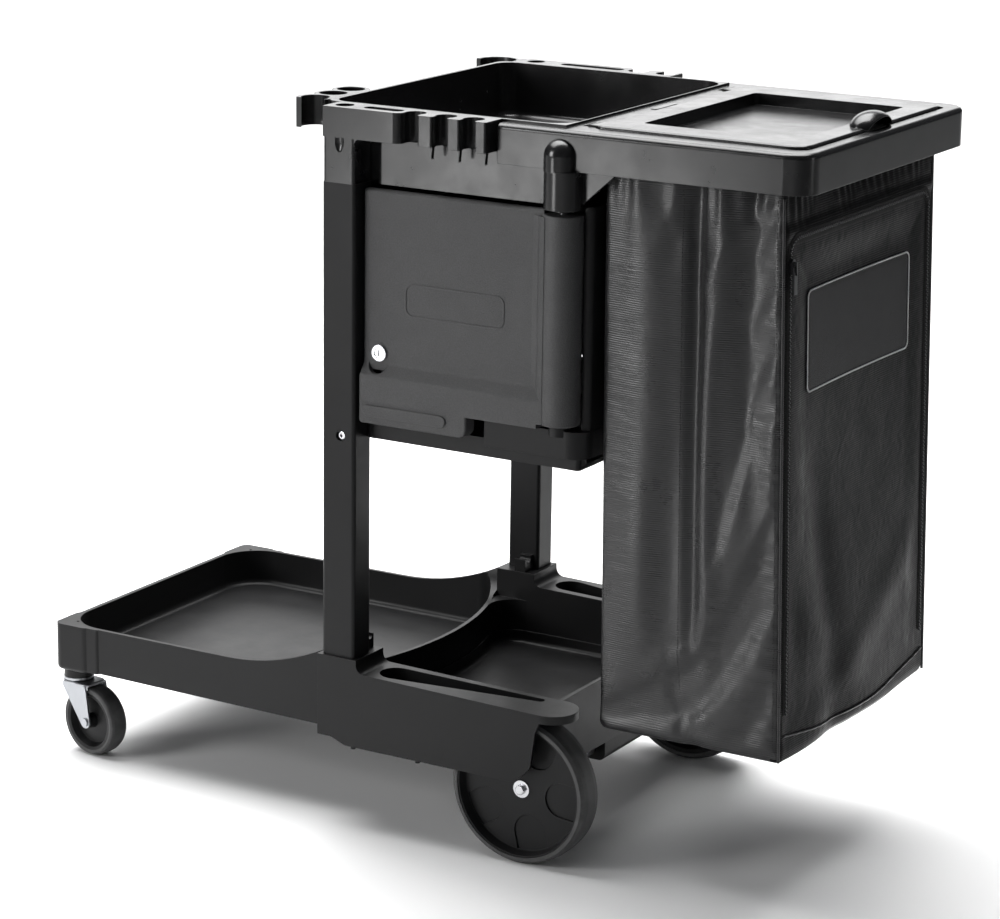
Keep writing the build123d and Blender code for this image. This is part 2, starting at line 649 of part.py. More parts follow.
# ---- bag frame and lid -------------------------------------------------------------------
def make_bag_frame():
    """Rim that holds the bag: outer wall, top flange, a seat for the lid and two forward arms."""
    half = FRAME_HALF_WIDTH
    outline = area((FRAME_ARM_X, REAR_X), (-half, half))
    outline = fillet(corners(outline, (500, 600)), FRAME_CORNER)
    frame = raised(outline, FRAME_Z)
    rim_edges = frame.faces().sort_by(Axis.Z)[-1].edges()
    frame = fillet(rim_edges.filter_by(lambda e: e.center().X > FRAME_ARM_X + 1), 7)
    frame -= block((100, TRAY_X[1]), (-TRAY_HALF_WIDTH, TRAY_HALF_WIDTH), (900, 1000))
    mouth = area((LID_X[0] - 3, LID_X[1] + 3), (-LID_HALF_WIDTH - 3, LID_HALF_WIDTH + 3), 14)
    frame -= raised(mouth, (LID_SEAT_Z, 1000))
    frame -= raised(area((284, 548), (-198, 198), 20), (900, 1000))
    pocket = area((280, REAR_X - FRAME_WALL), (-half + FRAME_WALL, half - FRAME_WALL))
    pocket = fillet(corners(pocket, (500, 600)), FRAME_CORNER - FRAME_WALL)
    frame -= raised(pocket, (900, LID_SEAT_Z - 5))
    frame -= raised(area((250, 274), (-222, 222), 4), (900, LID_SEAT_Z - 8))
    for side in (-1, 1):
        notch_y = sorted((side * (LID_EAR_Y - 17), side * (LID_EAR_Y + 17)))
        frame -= block((248, 275), notch_y, (LID_SEAT_Z - 7, 1000))
        pin_y = sorted((side * (LID_EAR_Y - 24), side * (LID_EAR_Y + 24)))
        frame -= rod_y(LID_HINGE_X, LID_HINGE_Z, LID_PIN_RADIUS + RUNNING_GAP, pin_y)
    frame += raised(Pos(257, 0) * Rot(0, 0, 90) * SlotOverall(62, 11), (FRAME_Z[1] - 1, FRAME_Z[1] + 0.8))
    frame += frame_gusset() + right_of(frame_gusset())
    frame -= hinge_post_blank() + right_of(hinge_post_blank())
    return frame


def frame_gusset():
    """The triangular web that braces the frame against the hinge post."""
    return across(polygon((268, 890), (318, FRAME_Z[0] + 1), (268, FRAME_Z[0] + 1)), (-240, -231))


def hinge_post_blank():
    dome = rod_z(HINGE_X - 3, -HINGE_Y - 4, 22, (FRAME_Z[0] - 1, 952))
    dome += Pos(HINGE_X - 3, -HINGE_Y - 4, 952) * Sphere(22)
    return dome + rod_z(HINGE_X, -HINGE_Y, HINGE_POST_RADIUS, (885, FRAME_Z[0]))


def make_hinge_post():
    """Domed post that holds the top of a door pin."""
    post = hinge_post_blank() + rod_z(HINGE_X, -HINGE_Y, 13, (881, 886))
    post -= block((100, 400), (-TRAY_HALF_WIDTH, 0), (800, 1100))
    return post - rod_z(HINGE_X, -HINGE_Y, DOOR_PIN_RADIUS + RUNNING_GAP, (870, 921))


def lid_pull():
    """Hooded finger pull in the middle of the lid's rear edge."""
    hood = Pos(553, 0, LID_TOP_Z - 2) * scale(Sphere(1), by=(24, 41, 20))
    hood -= block((400, 700), (-60, 60), (900, LID_TOP_Z - 2))
    finger = Pos(560, 0, LID_TOP_Z - 4) * scale(Sphere(1), by=(24, 36, 17))
    return hood, finger


def make_bag_lid():
    top = LID_TOP_Z
    seat = LID_SEAT_Z + LID_GAP
    outline = area(LID_X, (-LID_HALF_WIDTH, LID_HALF_WIDTH))
    outline = fillet(corners(outline, (500, 600)), 24)
    outline = fillet(corners(outline, (200, 300)), 10)
    lid = raised(outline, (seat, top))
    lid = fillet(top_edges(lid, top), 4)
    under = area((LID_X[0] + 4, LID_X[1] - 4), (-LID_HALF_WIDTH + 4, LID_HALF_WIDTH - 4), 16)
    lid -= raised(under, (900, top - 4.5))
    well = area((311, 528), (-160, 160), 7)
    pan = area((307, 532), (-164, 164), 10)
    lid += raised(pan, (top - 20, top - 2))
    lid -= raised(well, (top - 16, 1100))
    hood, finger = lid_pull()
    lid = lid + hood - finger
    for side in (-1, 1):
        ear_y = sorted((side * (LID_EAR_Y - 14), side * (LID_EAR_Y + 14)))
        ear = rod_y(LID_HINGE_X, LID_HINGE_Z, 6.4, ear_y)
        ear += block((LID_HINGE_X, LID_X[0] + 5), ear_y, (LID_HINGE_Z - 4.5, LID_HINGE_Z + 6))
        lid += ear
        lid -= rod_y(LID_HINGE_X, LID_HINGE_Z, LID_PIN_RADIUS + RUNNING_GAP, ear_y)
    return lid


def make_lid_pins():
    places = (-LID_EAR_Y, LID_EAR_Y)
    return [rod_y(LID_HINGE_X, LID_HINGE_Z, LID_PIN_RADIUS, (y - 22, y + 22)) for y in places]


# ---- cabinet -----------------------------------------------------------------------------
def make_cabinet_shelf():
    """Floor of the cabinet, with a raised rim round its rear and pads for the door pins."""
    inner = SHELF_INNER_HALF_WIDTH
    lower = area((POST_X[1], SHELF_X[1] - 12), (-inner, inner), 6)
    lower += area((SHELF_X[0], 0), (-POST_Y[0] + 0.4, POST_Y[0] - 0.4))
    shelf = raised(lower, (SHELF_Z[0], 570))
    rim = area((SHELF_RIM_X, SHELF_X[1]), (-SHELF_HALF_WIDTH, SHELF_HALF_WIDTH))
    rim = fillet(corners(rim, (250, 300)), 26)
    shelf += raised(rim, (562, SHELF_Z[1]))
    shelf -= raised(area((SHELF_X[0] + 8, SHELF_X[1] - 7), (-inner + 18, inner - 18), 10), (551, 700))
    shelf += [block((x - 1.5, x + 1.5), (-219, 219), (550, 556)) for x in (0, 90, 180)]
    for side in (-1, 1):
        shelf += rod_z(HINGE_X, side * HINGE_Y, 14, (590, 602))
        shelf -= rod_z(HINGE_X, side * HINGE_Y, DOOR_PIN_RADIUS + RUNNING_GAP, (572, 610))
        shelf -= rod_y(SCREW_X, SCREW_Z, 3.05, sorted((side * 180, side * 300)))
    return shelf


def make_cabinet_front_panel():
    """Front wall of the cabinet, between the uprights."""
    face = block((-96, -92), (-POST_Y[0] + 0.4, POST_Y[0] - 0.4), (570, 888))
    for y in (-224, 224):
        face += block((-96, -60), (y - 3.4, y + 3.4), (570, 888))
    for z in (650, 740, 830):
        face += block((-92, -86), (-222, 222), (z - 2, z + 2))
    return face


def make_cabinet_end_panel():
    """Rear wall of the cabinet, on the shelf's rim and under the tool tray."""
    shape = area((272.5, SHELF_X[1] - 1), (-236, 236))
    shape = fillet(corners(shape, (280, 290)), 9)
    shape -= area((200, SHELF_X[1] - 5), (-231, 231))
    wall = raised(shape, (SHELF_Z[1], TRAY_Z[0]))
    wall += block((TRAY_X[1] - 12, SHELF_X[1] - 4), (-222, 222), (880, TRAY_Z[0]))
    return wall


def door_face_plan():
    """The panel seen from its side, drawn in X and Z."""
    shape = polygon(
        (DOOR_X, DOOR_Z[0]), (118, DOOR_Z[0]), (118, 600), (HINGE_X - 22, 600), (HINGE_X - 22, DOOR_Z[1]),
        (DOOR_X, DOOR_Z[1]),
    )
    shape = fillet(corners_at(shape, (118, DOOR_Z[0])), 12)
    return fillet(corners_at(shape, (DOOR_X, DOOR_Z[0])), 5)


def door_section(inset=0.0):
    """End view of a door, drawn in Y and Z: flat above, with a bulge along its lower part."""
    face = DOOR_FACE_Y - inset
    bulge = DOOR_BULGE_Y - inset
    back = DOOR_INNER_Y - (1 if inset else 0)
    bottom = DOOR_Z[0] + (-1 if inset else 0)
    top = DOOR_Z[1] + (1 if inset else 0)
    shape = polygon(
        (-back, bottom), (-bulge, bottom), (-bulge, 636 - inset), (-face, 652 - inset),
        (-face, top), (-back, top),
    )
    shape = fillet(corners_at(shape, (-bulge, 636 - inset)), 9)
    shape = fillet(corners_at(shape, (-face, 652 - inset)), 14)
    return shape if inset else fillet(corners_at(shape, (-face, top)), 5)


def door_cove():
    """Concave blend between the door's flat face and its hinge barrel, drawn in X and Y."""
    edge_x = HINGE_X - BARREL_RADIUS
    wedge = polygon(
        (edge_x - 11, -DOOR_FACE_Y + 1), (edge_x + 12, -DOOR_FACE_Y + 1), (edge_x + 12, -DOOR_BULGE_Y),
        (edge_x + 3, -DOOR_BULGE_Y + 4), (edge_x - 2, -DOOR_FACE_Y - 2.5), (edge_x - 11, -DOOR_FACE_Y),
    )
    return fillet(corners_at(wedge, (edge_x - 2, -DOOR_FACE_Y - 2.5)), 6)


def make_door():
    """Left cabinet door: a hollow-backed panel moulded in one with its hinge barrel."""
    shape = door_face_plan()
    panel = across(shape, (-300, -200)) & along(door_section(), (DOOR_X, HINGE_X - 5))
    front_edges = [
        e for e in panel.edges()
        if abs(e.center().X - DOOR_X) < 0.5 and e.center().Y < -DOOR_FACE_Y + 0.5 and e.length > 50
    ]
    panel = fillet(front_edges, 3)
    panel += raised(door_cove(), (BARREL_Z[0] + 3, BARREL_Z[1] - 3))
    bulge_end = block((HINGE_X - 25, HINGE_X - 14), (-300, -250), (BARREL_Z[0] + 1, 660))
    panel += along(door_section(), (HINGE_X - 25, HINGE_X - 14)) & bulge_end
    hollow = along(door_section(DOOR_WALL), (DOOR_X + 5, 198))
    hollow &= across(offset(shape, -6, kind=Kind.INTERSECTION), (-300, -200))
    panel -= hollow
    panel += [across(area((x - 1.5, x + 1.5), (610, 880)), (-251, -DOOR_INNER_Y)) for x in (40, 100, 160)]
    panel += rod_y(LOCK_X, LOCK_Z, 14, (-DOOR_FACE_Y, -DOOR_INNER_Y))
    panel -= rod_y(LOCK_X - 1, LOCK_Z - 12, 15, (-300, -DOOR_FACE_Y))
    panel += across(obround((DOOR_X + 14, 589.5), (80, 589.5), 7.5), (-DOOR_BULGE_Y - 2.2, -DOOR_BULGE_Y + 2))
    badge = RectangleRounded(150, 44, 12) - RectangleRounded(146, 40, 10)
    panel += across(Pos(92, 742) * badge, (-DOOR_FACE_Y - 0.7, -DOOR_FACE_Y + 1))
    barrel = rod_z(HINGE_X, -HINGE_Y, BARREL_RADIUS, BARREL_Z)
    barrel = fillet(barrel.faces().filter_by(GeomType.PLANE).edges(), 2)
    for z in ((622, 680), (692, 791), (803, 862)):
        barrel -= rod_z(HINGE_X, -HINGE_Y, BARREL_RADIUS - 4, z)
    barrel -= block((HINGE_X - 9, HINGE_X + 9), (-HINGE_Y, -200), (622, 862))
    door = panel + barrel
    for z in ((612, 622), (680, 692), (791, 803), (862, 872)):
        door += rod_z(HINGE_X, -HINGE_Y, 12, z)
    door -= rod_z(HINGE_X, -HINGE_Y, DOOR_PIN_RADIUS + RUNNING_GAP, (560, 900))
    return door - rod_y(LOCK_X, LOCK_Z, 10.55, (-300, -200))


def make_door_pin():
    pin = rod_z(HINGE_X, -HINGE_Y, DOOR_PIN_RADIUS, (573, 920))
    return chamfer(pin.faces().filter_by(GeomType.PLANE).edges(), 0.8)


def make_lock_barrel():
    """Fixed shell of the lock, with a flange on the door's face."""
    shell = rod_y(LOCK_X, LOCK_Z, 10.5, (-DOOR_FACE_Y, -241.5))
    shell += rod_y(LOCK_X, LOCK_Z, 11.5, (-257, -DOOR_FACE_Y))
    shell = fillet(shell.faces().sort_by(Axis.Y)[0].edges(), 1.2)
    return shell - rod_y(LOCK_X, LOCK_Z, 6.55, (-300, -200))


def make_lock_plug():
    """The keyed plug of the lock."""
    plug = rod_y(LOCK_X, LOCK_Z, 6.5, (-256.2, -241.2))
    plug -= block((LOCK_X - 0.8, LOCK_X + 0.8), (-258, -252), (LOCK_Z - 4, LOCK_Z + 4))
    return plug


def make_lock_cam():
    """The latch that the plug turns into the upright's slot."""
    cam = across(tapered((LOCK_X, LOCK_Z), 9, (LOCK_X, LOCK_Z - 27), 6), (-241.2, -238.7))
    return cam + rod_y(LOCK_X, LOCK_Z, 6, (-238.7, -235))


# ---- bag ---------------------------------------------------------------------------------
def bag_outline(inset, top_z):
    """Side view of the bag, which leans out towards its base, drawn in X and Z."""
    front_lean = (BAG_TOP_X[0] - BAG_BOTTOM_X[0]) / (BAG_Z[1] - BAG_Z[0])
    end_lean = (BAG_TOP_X[1] - BAG_BOTTOM_X[1]) / (BAG_Z[1] - BAG_Z[0])
    rise = top_z - BAG_Z[0]
    return polygon(
        (BAG_BOTTOM_X[0] + inset, BAG_Z[0] + inset), (BAG_BOTTOM_X[1] - inset, BAG_Z[0] + inset),
        (BAG_BOTTOM_X[1] + end_lean * rise - inset, top_z), (BAG_BOTTOM_X[0] + front_lean * rise + inset, top_z),
    )


def bag_block(inset, top_z, corner):
    half = BAG_HALF_WIDTH - inset
    body = across(bag_outline(inset, top_z), (-half, half))
    uprights = [e for e in body.edges() if abs(e.center().Y) > half - 0.1 and e.length > 500]
    return fillet(uprights, corner)


def make_bag():
    """The bag as a plain open cup; its folds and cuff are soft."""
    outer = bag_block(0, BAG_Z[1], 14)
    outer = fillet(outer.faces().sort_by(Axis.Z)[0].edges(), 8)
    return outer - bag_block(BAG_WALL, BAG_Z[1] + 1, 11)


def on_bag_end(part):
    """Tilts a part that is drawn upright at X = 0 so that it lies on the leaning end of the bag."""
    lean = math.degrees(math.atan2(BAG_BOTTOM_X[1] - BAG_TOP_X[1], BAG_Z[1] - BAG_Z[0]))
    return Pos(BAG_TOP_X[1], 0, BAG_Z[1]) * Rot(0, -lean, 0) * Pos(0, 0, -BAG_Z[1]) * part


def zip_path():
    """Centre line of the zip on the bag's end, drawn in Y and Z."""
    turn = 22.0
    up = Line((ZIP_Y, ZIP_BOTTOM_Z), (ZIP_Y, ZIP_TOP_Z - turn))
    left = TangentArc((ZIP_Y, ZIP_TOP_Z - turn), (ZIP_Y + turn, ZIP_TOP_Z), tangent=(0, 1))
    over = Line((ZIP_Y + turn, ZIP_TOP_Z), (-ZIP_Y - turn, ZIP_TOP_Z))
    right = TangentArc((-ZIP_Y - turn, ZIP_TOP_Z), (-ZIP_Y, ZIP_TOP_Z - turn), tangent=(1, 0))
    down = Line((-ZIP_Y, ZIP_TOP_Z - turn), (-ZIP_Y, ZIP_BOTTOM_Z))
    return up + left + over + right + down


def make_zip_tape():
    return on_bag_end(along(trace(zip_path(), ZIP_TAPE), (0, 1.2)))


def make_zip_slider():
    z = ZIP_TOP_Z - 34
    body = along(tapered((ZIP_Y, z + 5), 5.5, (ZIP_Y, z - 6), 4), (1.6, 5.2))
    bridge = block((4.6, 9.8), (ZIP_Y - 1.5, ZIP_Y + 1.5), (z - 7, z + 7))
    bridge -= rod_y(7.0, z, 1.6, (ZIP_Y - 5, ZIP_Y + 5))
    return on_bag_end(body + bridge)


def make_zip_pull():
    """Pull tab that hangs from the slider's bridge."""
    z = ZIP_TOP_Z - 34
    x = 7.0
    pin = rod_y(x, z, 1.3, (ZIP_Y - 4.4, ZIP_Y + 4.4))
    outline = polygon((x - 1.1, z - 34), (x + 1.1, z - 34), (x + 1.3, z), (x - 1.3, z))
    tab = across(outline, (ZIP_Y - 4.4, ZIP_Y + 4.4))
    tab -= block((x - 8, x + 8), (ZIP_Y - 2.4, ZIP_Y + 2.4), (z - 10.5, z + 10))
    return on_bag_end(tab + pin)


def make_label_patch():
    """Plain sewn-on patch with no marking."""
    return on_bag_end(along(Pos(1, 734) * RectangleRounded(312, 132, 10), (0, 1.0)))


def make_bag_hooks():
    """Hooks on the inside of the frame's wall that hold the bag's top edge."""
    wall_y = FRAME_HALF_WIDTH - FRAME_WALL
    hooks = []
    for side in (-1, 1):
        for x in (335, 420, 505):
            y = sorted((side * wall_y, side * BAG_HALF_WIDTH))
            lip = sorted((side * (BAG_HALF_WIDTH + 3), side * BAG_HALF_WIDTH))
            hooks.append(block((x - 6, x + 6), y, (946, 949)) + block((x - 6, x + 6), lip, (946, 958)))
    return hooks


# ---- nodes -------------------------------------------------------------------------------
def both_sides(name, left_part):
    return {name + "_left": left_part, name + "_right": right_of(left_part)}


def both_casters(name, part):
    return {name + "_left": at_caster(part), name + "_right": at_right_caster(part)}


def all_nodes():
    nodes = {
        "front_platform": make_front_platform(),
        "rear_deck": make_rear_deck(),
        "deck_bolts": make_deck_bolts(),
        "axle_hanger": make_axle_hanger(),
        "axle_rod": make_axle_rod(),
        "top_tray": make_top_tray(),
        "tool_rail_left": make_tool_rail(left_notches(), 17, (-49, 9)),
        "tool_rail_right": right_of(make_tool_rail(right_notches(), 70, (-38, 61))),
        "tool_rings": make_tool_rings(),
        "hook_ring": make_hook_ring(),
        "bag_frame": make_bag_frame(),
        "bag_hooks": make_bag_hooks(),
        "bag_lid": make_bag_lid(),
        "lid_pins": make_lid_pins(),
        "cabinet_shelf": make_cabinet_shelf(),
        "cabinet_front_panel": make_cabinet_front_panel(),
        "cabinet_end_panel": make_cabinet_end_panel(),
        "bag": make_bag(),
        "zip_tape": make_zip_tape(),
        "zip_slider": make_zip_slider(),
        "zip_pull": make_zip_pull(),
        "label_patch": make_label_patch(),
    }
    nodes |= both_sides("upright", make_upright())
    nodes |= both_sides("upright_screw", make_upright_screw())
    nodes |= both_sides("wheel_hub", make_wheel_hub())
    nodes |= both_sides("wheel_tyre", make_wheel_tyre())
    nodes |= both_sides("axle_washer", make_axle_washer())
    nodes |= both_sides("axle_cap", make_axle_cap())
    nodes |= both_sides("hinge_post", make_hinge_post())
    nodes |= both_sides("door", make_door())
    nodes |= both_sides("door_pin", make_door_pin())
    nodes |= both_sides("lock_barrel", make_lock_barrel())
    nodes |= both_sides("lock_plug", make_lock_plug())
    nodes |= both_sides("lock_cam", make_lock_cam())
    nodes |= both_casters("caster_mount", caster_mount())
    nodes |= both_casters("caster_fork", caster_fork())
    nodes |= both_casters("caster_axle", caster_axle())
    nodes |= both_casters("caster_hub", caster_hub())
    nodes |= both_casters("caster_tyre", caster_tyre())
    return nodes


def main():
    os.makedirs("parts", exist_ok=True)
    for name, part in all_nodes().items():
        solids = part if isinstance(part, list) else part.solids()
        shape = solids[0] if len(solids) == 1 else Compound(solids)
        export_step(shape, os.path.join("parts", name + ".step"))


main()
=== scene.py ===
import json
import math

import bpy
import numpy as np
from mathutils import Matrix, Vector, noise
from mathutils.bvhtree import BVHTree


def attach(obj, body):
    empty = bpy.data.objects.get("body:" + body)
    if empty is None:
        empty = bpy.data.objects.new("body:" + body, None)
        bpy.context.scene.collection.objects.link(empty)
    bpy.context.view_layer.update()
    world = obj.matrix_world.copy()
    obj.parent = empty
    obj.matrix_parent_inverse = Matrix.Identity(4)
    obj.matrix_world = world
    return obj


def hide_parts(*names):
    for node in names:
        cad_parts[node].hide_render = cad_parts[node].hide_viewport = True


# Housekeeping cart: materials for the rigid parts, and the vinyl bag with its zip and patch.
# Lengths are in metres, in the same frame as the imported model.

CAMERA_PLACE = (2.24928, -3.82003, 1.64119)
CAMERA_AZIMUTH = 30.322
CAMERA_ELEVATION = 14.818
CAMERA_ROLL = 0.821
CAMERA_LENS = 118.77

BAG_TOP_X = (0.2935, 0.5435)
BAG_BOTTOM_X = (0.3005, 0.5645)
BAG_HALF = 0.228
BAG_Z = (0.199, 0.957)
BAG_FRONT_RADIUS = 0.009
BAG_REAR_RADIUS = 0.007
BAG_STEP = 0.0064
CUFF_Z = 0.884
SEAM_SHARE = 0.463            # place of the side seam, from the front wall to the end wall
RIB_PITCH = 0.0029

CLOTH_FRAMES = 20
CLOTH_REACH = 0.0035          # the furthest that settling may move a point
END_HOLD = 0.55               # how firmly the end panel is held while the cloth settles

ZIP_Y = 0.211
ZIP_TOP = 0.873
ZIP_BOTTOM = 0.262
ZIP_TURN = 0.022
ZIP_TAPE = 0.016
TOOTH_PITCH = 0.0026

PATCH_Y = (-0.155, 0.157)
PATCH_Z = (0.668, 0.800)
PATCH_CORNER = 0.010
PATCH_STITCH = (0.0008, 0.0024, 0.0009)
PATCH_STITCH_PITCH = 0.0009
SEAM_STITCH = (0.0032, 0.0009, 0.0007)
SEAM_STITCH_PITCH = 0.0048
PIPING_RADIUS = 0.0021
HEM_RADIUS = 0.0015

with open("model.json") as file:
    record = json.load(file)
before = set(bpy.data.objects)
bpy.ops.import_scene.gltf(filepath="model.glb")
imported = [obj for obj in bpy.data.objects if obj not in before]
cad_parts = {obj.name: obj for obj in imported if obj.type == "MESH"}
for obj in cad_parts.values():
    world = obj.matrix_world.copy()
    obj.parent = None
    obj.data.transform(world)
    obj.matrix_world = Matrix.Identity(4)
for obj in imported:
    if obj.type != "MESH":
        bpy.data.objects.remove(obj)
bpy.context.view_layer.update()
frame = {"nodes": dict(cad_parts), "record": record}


# ---- shader nodes ------------------------------------------------------------------------
class Shader:
    """A new material, with short calls for adding nodes to it."""

    def __init__(self, name):
        self.material = bpy.data.materials.new(name)
        self.material.use_nodes = True
        self.tree = self.material.node_tree
        self.tree.nodes.clear()
        self.place = self.add("ShaderNodeTexCoord").outputs["Object"]

    def add(self, kind, options=None, at=None, **inputs):
        """Adds a node. at sets inputs by index, and keywords set them by name."""
        node = self.tree.nodes.new(kind)
        for key, value in (options or {}).items():
            setattr(node, key, value)
        for key, value in list((at or {}).items()) + list(inputs.items()):
            socket = node.inputs[key if isinstance(key, int) else key.replace("_", " ")]
            if isinstance(value, bpy.types.NodeSocket):
                self.tree.links.new(value, socket)
            else:
                socket.default_value = value
        return node

    def math(self, operation, a, b=0.0):
        return self.add("ShaderNodeMath", {"operation": operation}, at={0: a, 1: b}).outputs[0]

    def stretched(self, scale):
        """Object coordinates scaled along each axis."""
        return self.add("ShaderNodeMapping", Vector=self.place, Scale=scale).outputs["Vector"]

    def noise(self, scale, detail=3.0, roughness=0.5, vector=None, distortion=0.0):
        node = self.add(
            "ShaderNodeTexNoise", Vector=vector or self.place, Scale=scale, Detail=detail,
            Roughness=roughness, Distortion=distortion,
        )
        return node.outputs["Fac"]

    def span(self, value, low, high, start=0.0, end=1.0):
        """Maps value from low..high to start..end, and clamps it."""
        node = self.add("ShaderNodeMapRange", at={0: value, 1: low, 2: high, 3: start, 4: end})
        return node.outputs[0]

    def blend(self, factor, first, second):
        node = self.add("ShaderNodeMix", {"data_type": "RGBA"}, at={0: factor, 6: first, 7: second})
        return node.outputs[2]

    def bump(self, height, distance, strength=1.0, normal=None):
        node = self.add("ShaderNodeBump", Height=height, Distance=distance, Strength=strength)
        if normal:
            self.tree.links.new(normal, node.inputs["Normal"])
        return node.outputs["Normal"]

    def soft_edges(self, radius):
        return self.add("ShaderNodeBevel", {"samples": 4}, Radius=radius).outputs["Normal"]

    def edge_mask(self, rounded):
        """One along sharp edges and nought on flat faces."""
        facing = self.add("ShaderNodeNewGeometry").outputs["Normal"]
        dot = self.add("ShaderNodeVectorMath", {"operation": "DOT_PRODUCT"}, at={0: rounded, 1: facing})
        return self.span(dot.outputs["Value"], 0.995, 0.86)

    def finish(self, **inputs):
        surface = self.add("ShaderNodeBsdfPrincipled", **inputs)
        self.add("ShaderNodeOutputMaterial", Surface=surface.outputs[0])
        return self.material


def grey(value, tint=0.0):
    return (value, value, value * (1 + tint), 1.0)


def moulded(name, colour, rough, grain_depth=0.00003, wave_depth=0.0002, edge=0.0009, shine=0.5):
    """Black moulded plastic: fine grain, soft flow marks, slightly worn edges."""
    s = Shader(name)
    rounded = s.soft_edges(edge)
    worn = s.math("MULTIPLY", s.edge_mask(rounded), s.noise(60, 4, 0.65))
    cloud = s.noise(6, 4, 0.6)
    base = s.blend(cloud, grey(colour * 0.8, 0.03), grey(colour * 1.2, 0.05))
    base = s.blend(s.math("MULTIPLY", worn, 0.5), base, grey(colour * 3.0 + 0.012, 0.04))
    scuffs = s.noise(16, 5, 0.65)
    scuffed = s.span(scuffs, 0.35, 0.7, rough - 0.04, rough + 0.05)
    roughness = s.math("ADD", scuffed, s.math("MULTIPLY", worn, 0.1))
    normal = s.bump(s.noise(7, 1, 0.4), wave_depth, 0.5, rounded)
    normal = s.bump(s.noise(1100, 2, 0.6), grain_depth, 0.6, normal)
    return s.finish(Base_Color=base, Roughness=roughness, Normal=normal, Specular_IOR_Level=shine)


def textured_door(name):
    """Charcoal plastic with a fine leather-like mould texture."""
    s = Shader(name)
    rounded = s.soft_edges(0.0015)
    worn = s.math("MULTIPLY", s.edge_mask(rounded), s.noise(45, 4, 0.6))
    cells = s.add("ShaderNodeTexVoronoi", {"feature": "SMOOTH_F1"}, Vector=s.place, Scale=620.0)
    pebble = s.math("ADD", s.math("MULTIPLY", cells.outputs["Distance"], 0.8), s.noise(900, 2, 0.6))
    cloud = s.noise(9, 5, 0.62)
    base = s.blend(cloud, grey(0.026, 0.02), grey(0.040, 0.02))
    base = s.blend(s.math("MULTIPLY", s.span(pebble, 0.5, 1.1), 0.45), base, grey(0.064, 0.02))
    base = s.blend(s.math("MULTIPLY", worn, 0.5), base, grey(0.10, 0.02))
    normal = s.bump(s.noise(10, 2, 0.5), 0.0005, 0.5, rounded)
    normal = s.bump(pebble, 0.0004, 0.9, normal)
    roughness = s.span(s.noise(35, 4, 0.6), 0.3, 0.7, 0.5, 0.62)
    return s.finish(Base_Color=base, Roughness=roughness, Normal=normal, Specular_IOR_Level=0.42)


def ribbed_vinyl(name, colour, rough, shine):
    """Black vinyl on a ribbed cloth backing."""
    s = Shader(name)
    wobble = s.math("MULTIPLY", s.noise(35, 2, 0.5), 0.0012)
    split = s.add("ShaderNodeSeparateXYZ", Vector=s.place)
    height = s.math("ADD", split.outputs["Z"], wobble)
    ribs = s.math("SINE", s.math("MULTIPLY", height, 2 * math.pi / RIB_PITCH))
    broken = s.span(s.noise(60, 3, 0.6, s.stretched((0.4, 0.4, 3.0))), 0.3, 0.65)
    ribs = s.math("MULTIPLY", ribs, s.math("ADD", s.math("MULTIPLY", broken, 0.75), 0.25))
    normal = s.bump(s.noise(20, 4, 0.55, distortion=0.5), 0.0024, 0.5)
    normal = s.bump(s.noise(85, 3, 0.6), 0.0005, 0.4, normal)
    normal = s.bump(ribs, 0.00022, 0.7, normal)
    dust = s.noise(8, 5, 0.6)
    base = s.blend(dust, grey(colour * 0.8, 0.03), grey(colour * 1.35, 0.05))
    patchy = s.span(s.noise(18, 4, 0.6), 0.3, 0.7, rough - 0.05, rough + 0.08)
    roughness = s.math("ADD", patchy, s.math("MULTIPLY", ribs, 0.03))
    return s.finish(Base_Color=base, Roughness=roughness, Normal=normal, Specular_IOR_Level=shine)


def woven(name, dark, light, pitch, rough=0.75):
    """Plain cloth with warp and weft."""
    s = Shader(name)
    split = s.add("ShaderNodeSeparateXYZ", Vector=s.place)
    rate = 2 * math.pi / pitch
    weft = s.math("SINE", s.math("MULTIPLY", split.outputs["Z"], rate))
    warp = s.math("SINE", s.math("MULTIPLY", s.math("ADD", split.outputs["Y"], split.outputs["X"]), rate))
    weave = s.math("MULTIPLY", weft, warp)
    threads = s.math("MULTIPLY", s.span(weave, -1.0, 1.0), 0.5)
    shade = s.math("ADD", threads, s.math("MULTIPLY", s.noise(40, 4, 0.6), 0.5))
    normal = s.bump(s.noise(30, 3, 0.5), 0.0005, 0.4)
    normal = s.bump(weave, 0.00012, 0.8, normal)
    return s.finish(
        Base_Color=s.blend(shade, dark, light), Roughness=rough, Normal=normal,
        Specular_IOR_Level=0.12,
    )


def tread_rubber(name, colour):
    """Grey tread with fine moulding lines and dusty scuffs."""
    s = Shader(name)
    rounded = s.soft_edges(0.0012)
    dust = s.noise(55, 5, 0.65)
    base = s.blend(s.span(dust, 0.4, 0.75), grey(colour, 0.02), grey(colour * 1.7 + 0.01, 0.0))
    normal = s.bump(s.noise(420, 3, 0.6), 0.0001, 0.6, rounded)
    roughness = s.span(dust, 0.3, 0.8, 0.46, 0.68)
    return s.finish(Base_Color=base, Roughness=roughness, Normal=normal)


def plated(name, colour, rough, streak=0.12, grain=260.0):
    """Plated metal with faint handling marks."""
    s = Shader(name)
    rounded = s.soft_edges(0.0006)
    marks = s.noise(grain, 4, 0.6, s.stretched((1.0, 1.0, 0.2)))
    spots = s.noise(40, 5, 0.6)
    base = s.blend(spots, [c * 0.86 for c in colour[:3]] + [1.0], colour)
    roughness = s.span(marks, 0.3, 0.7, rough - streak / 2, rough + streak / 2)
    normal = s.bump(marks, 0.00003, 0.5, rounded)
    return s.finish(Base_Color=base, Metallic=1.0, Roughness=roughness, Normal=normal)


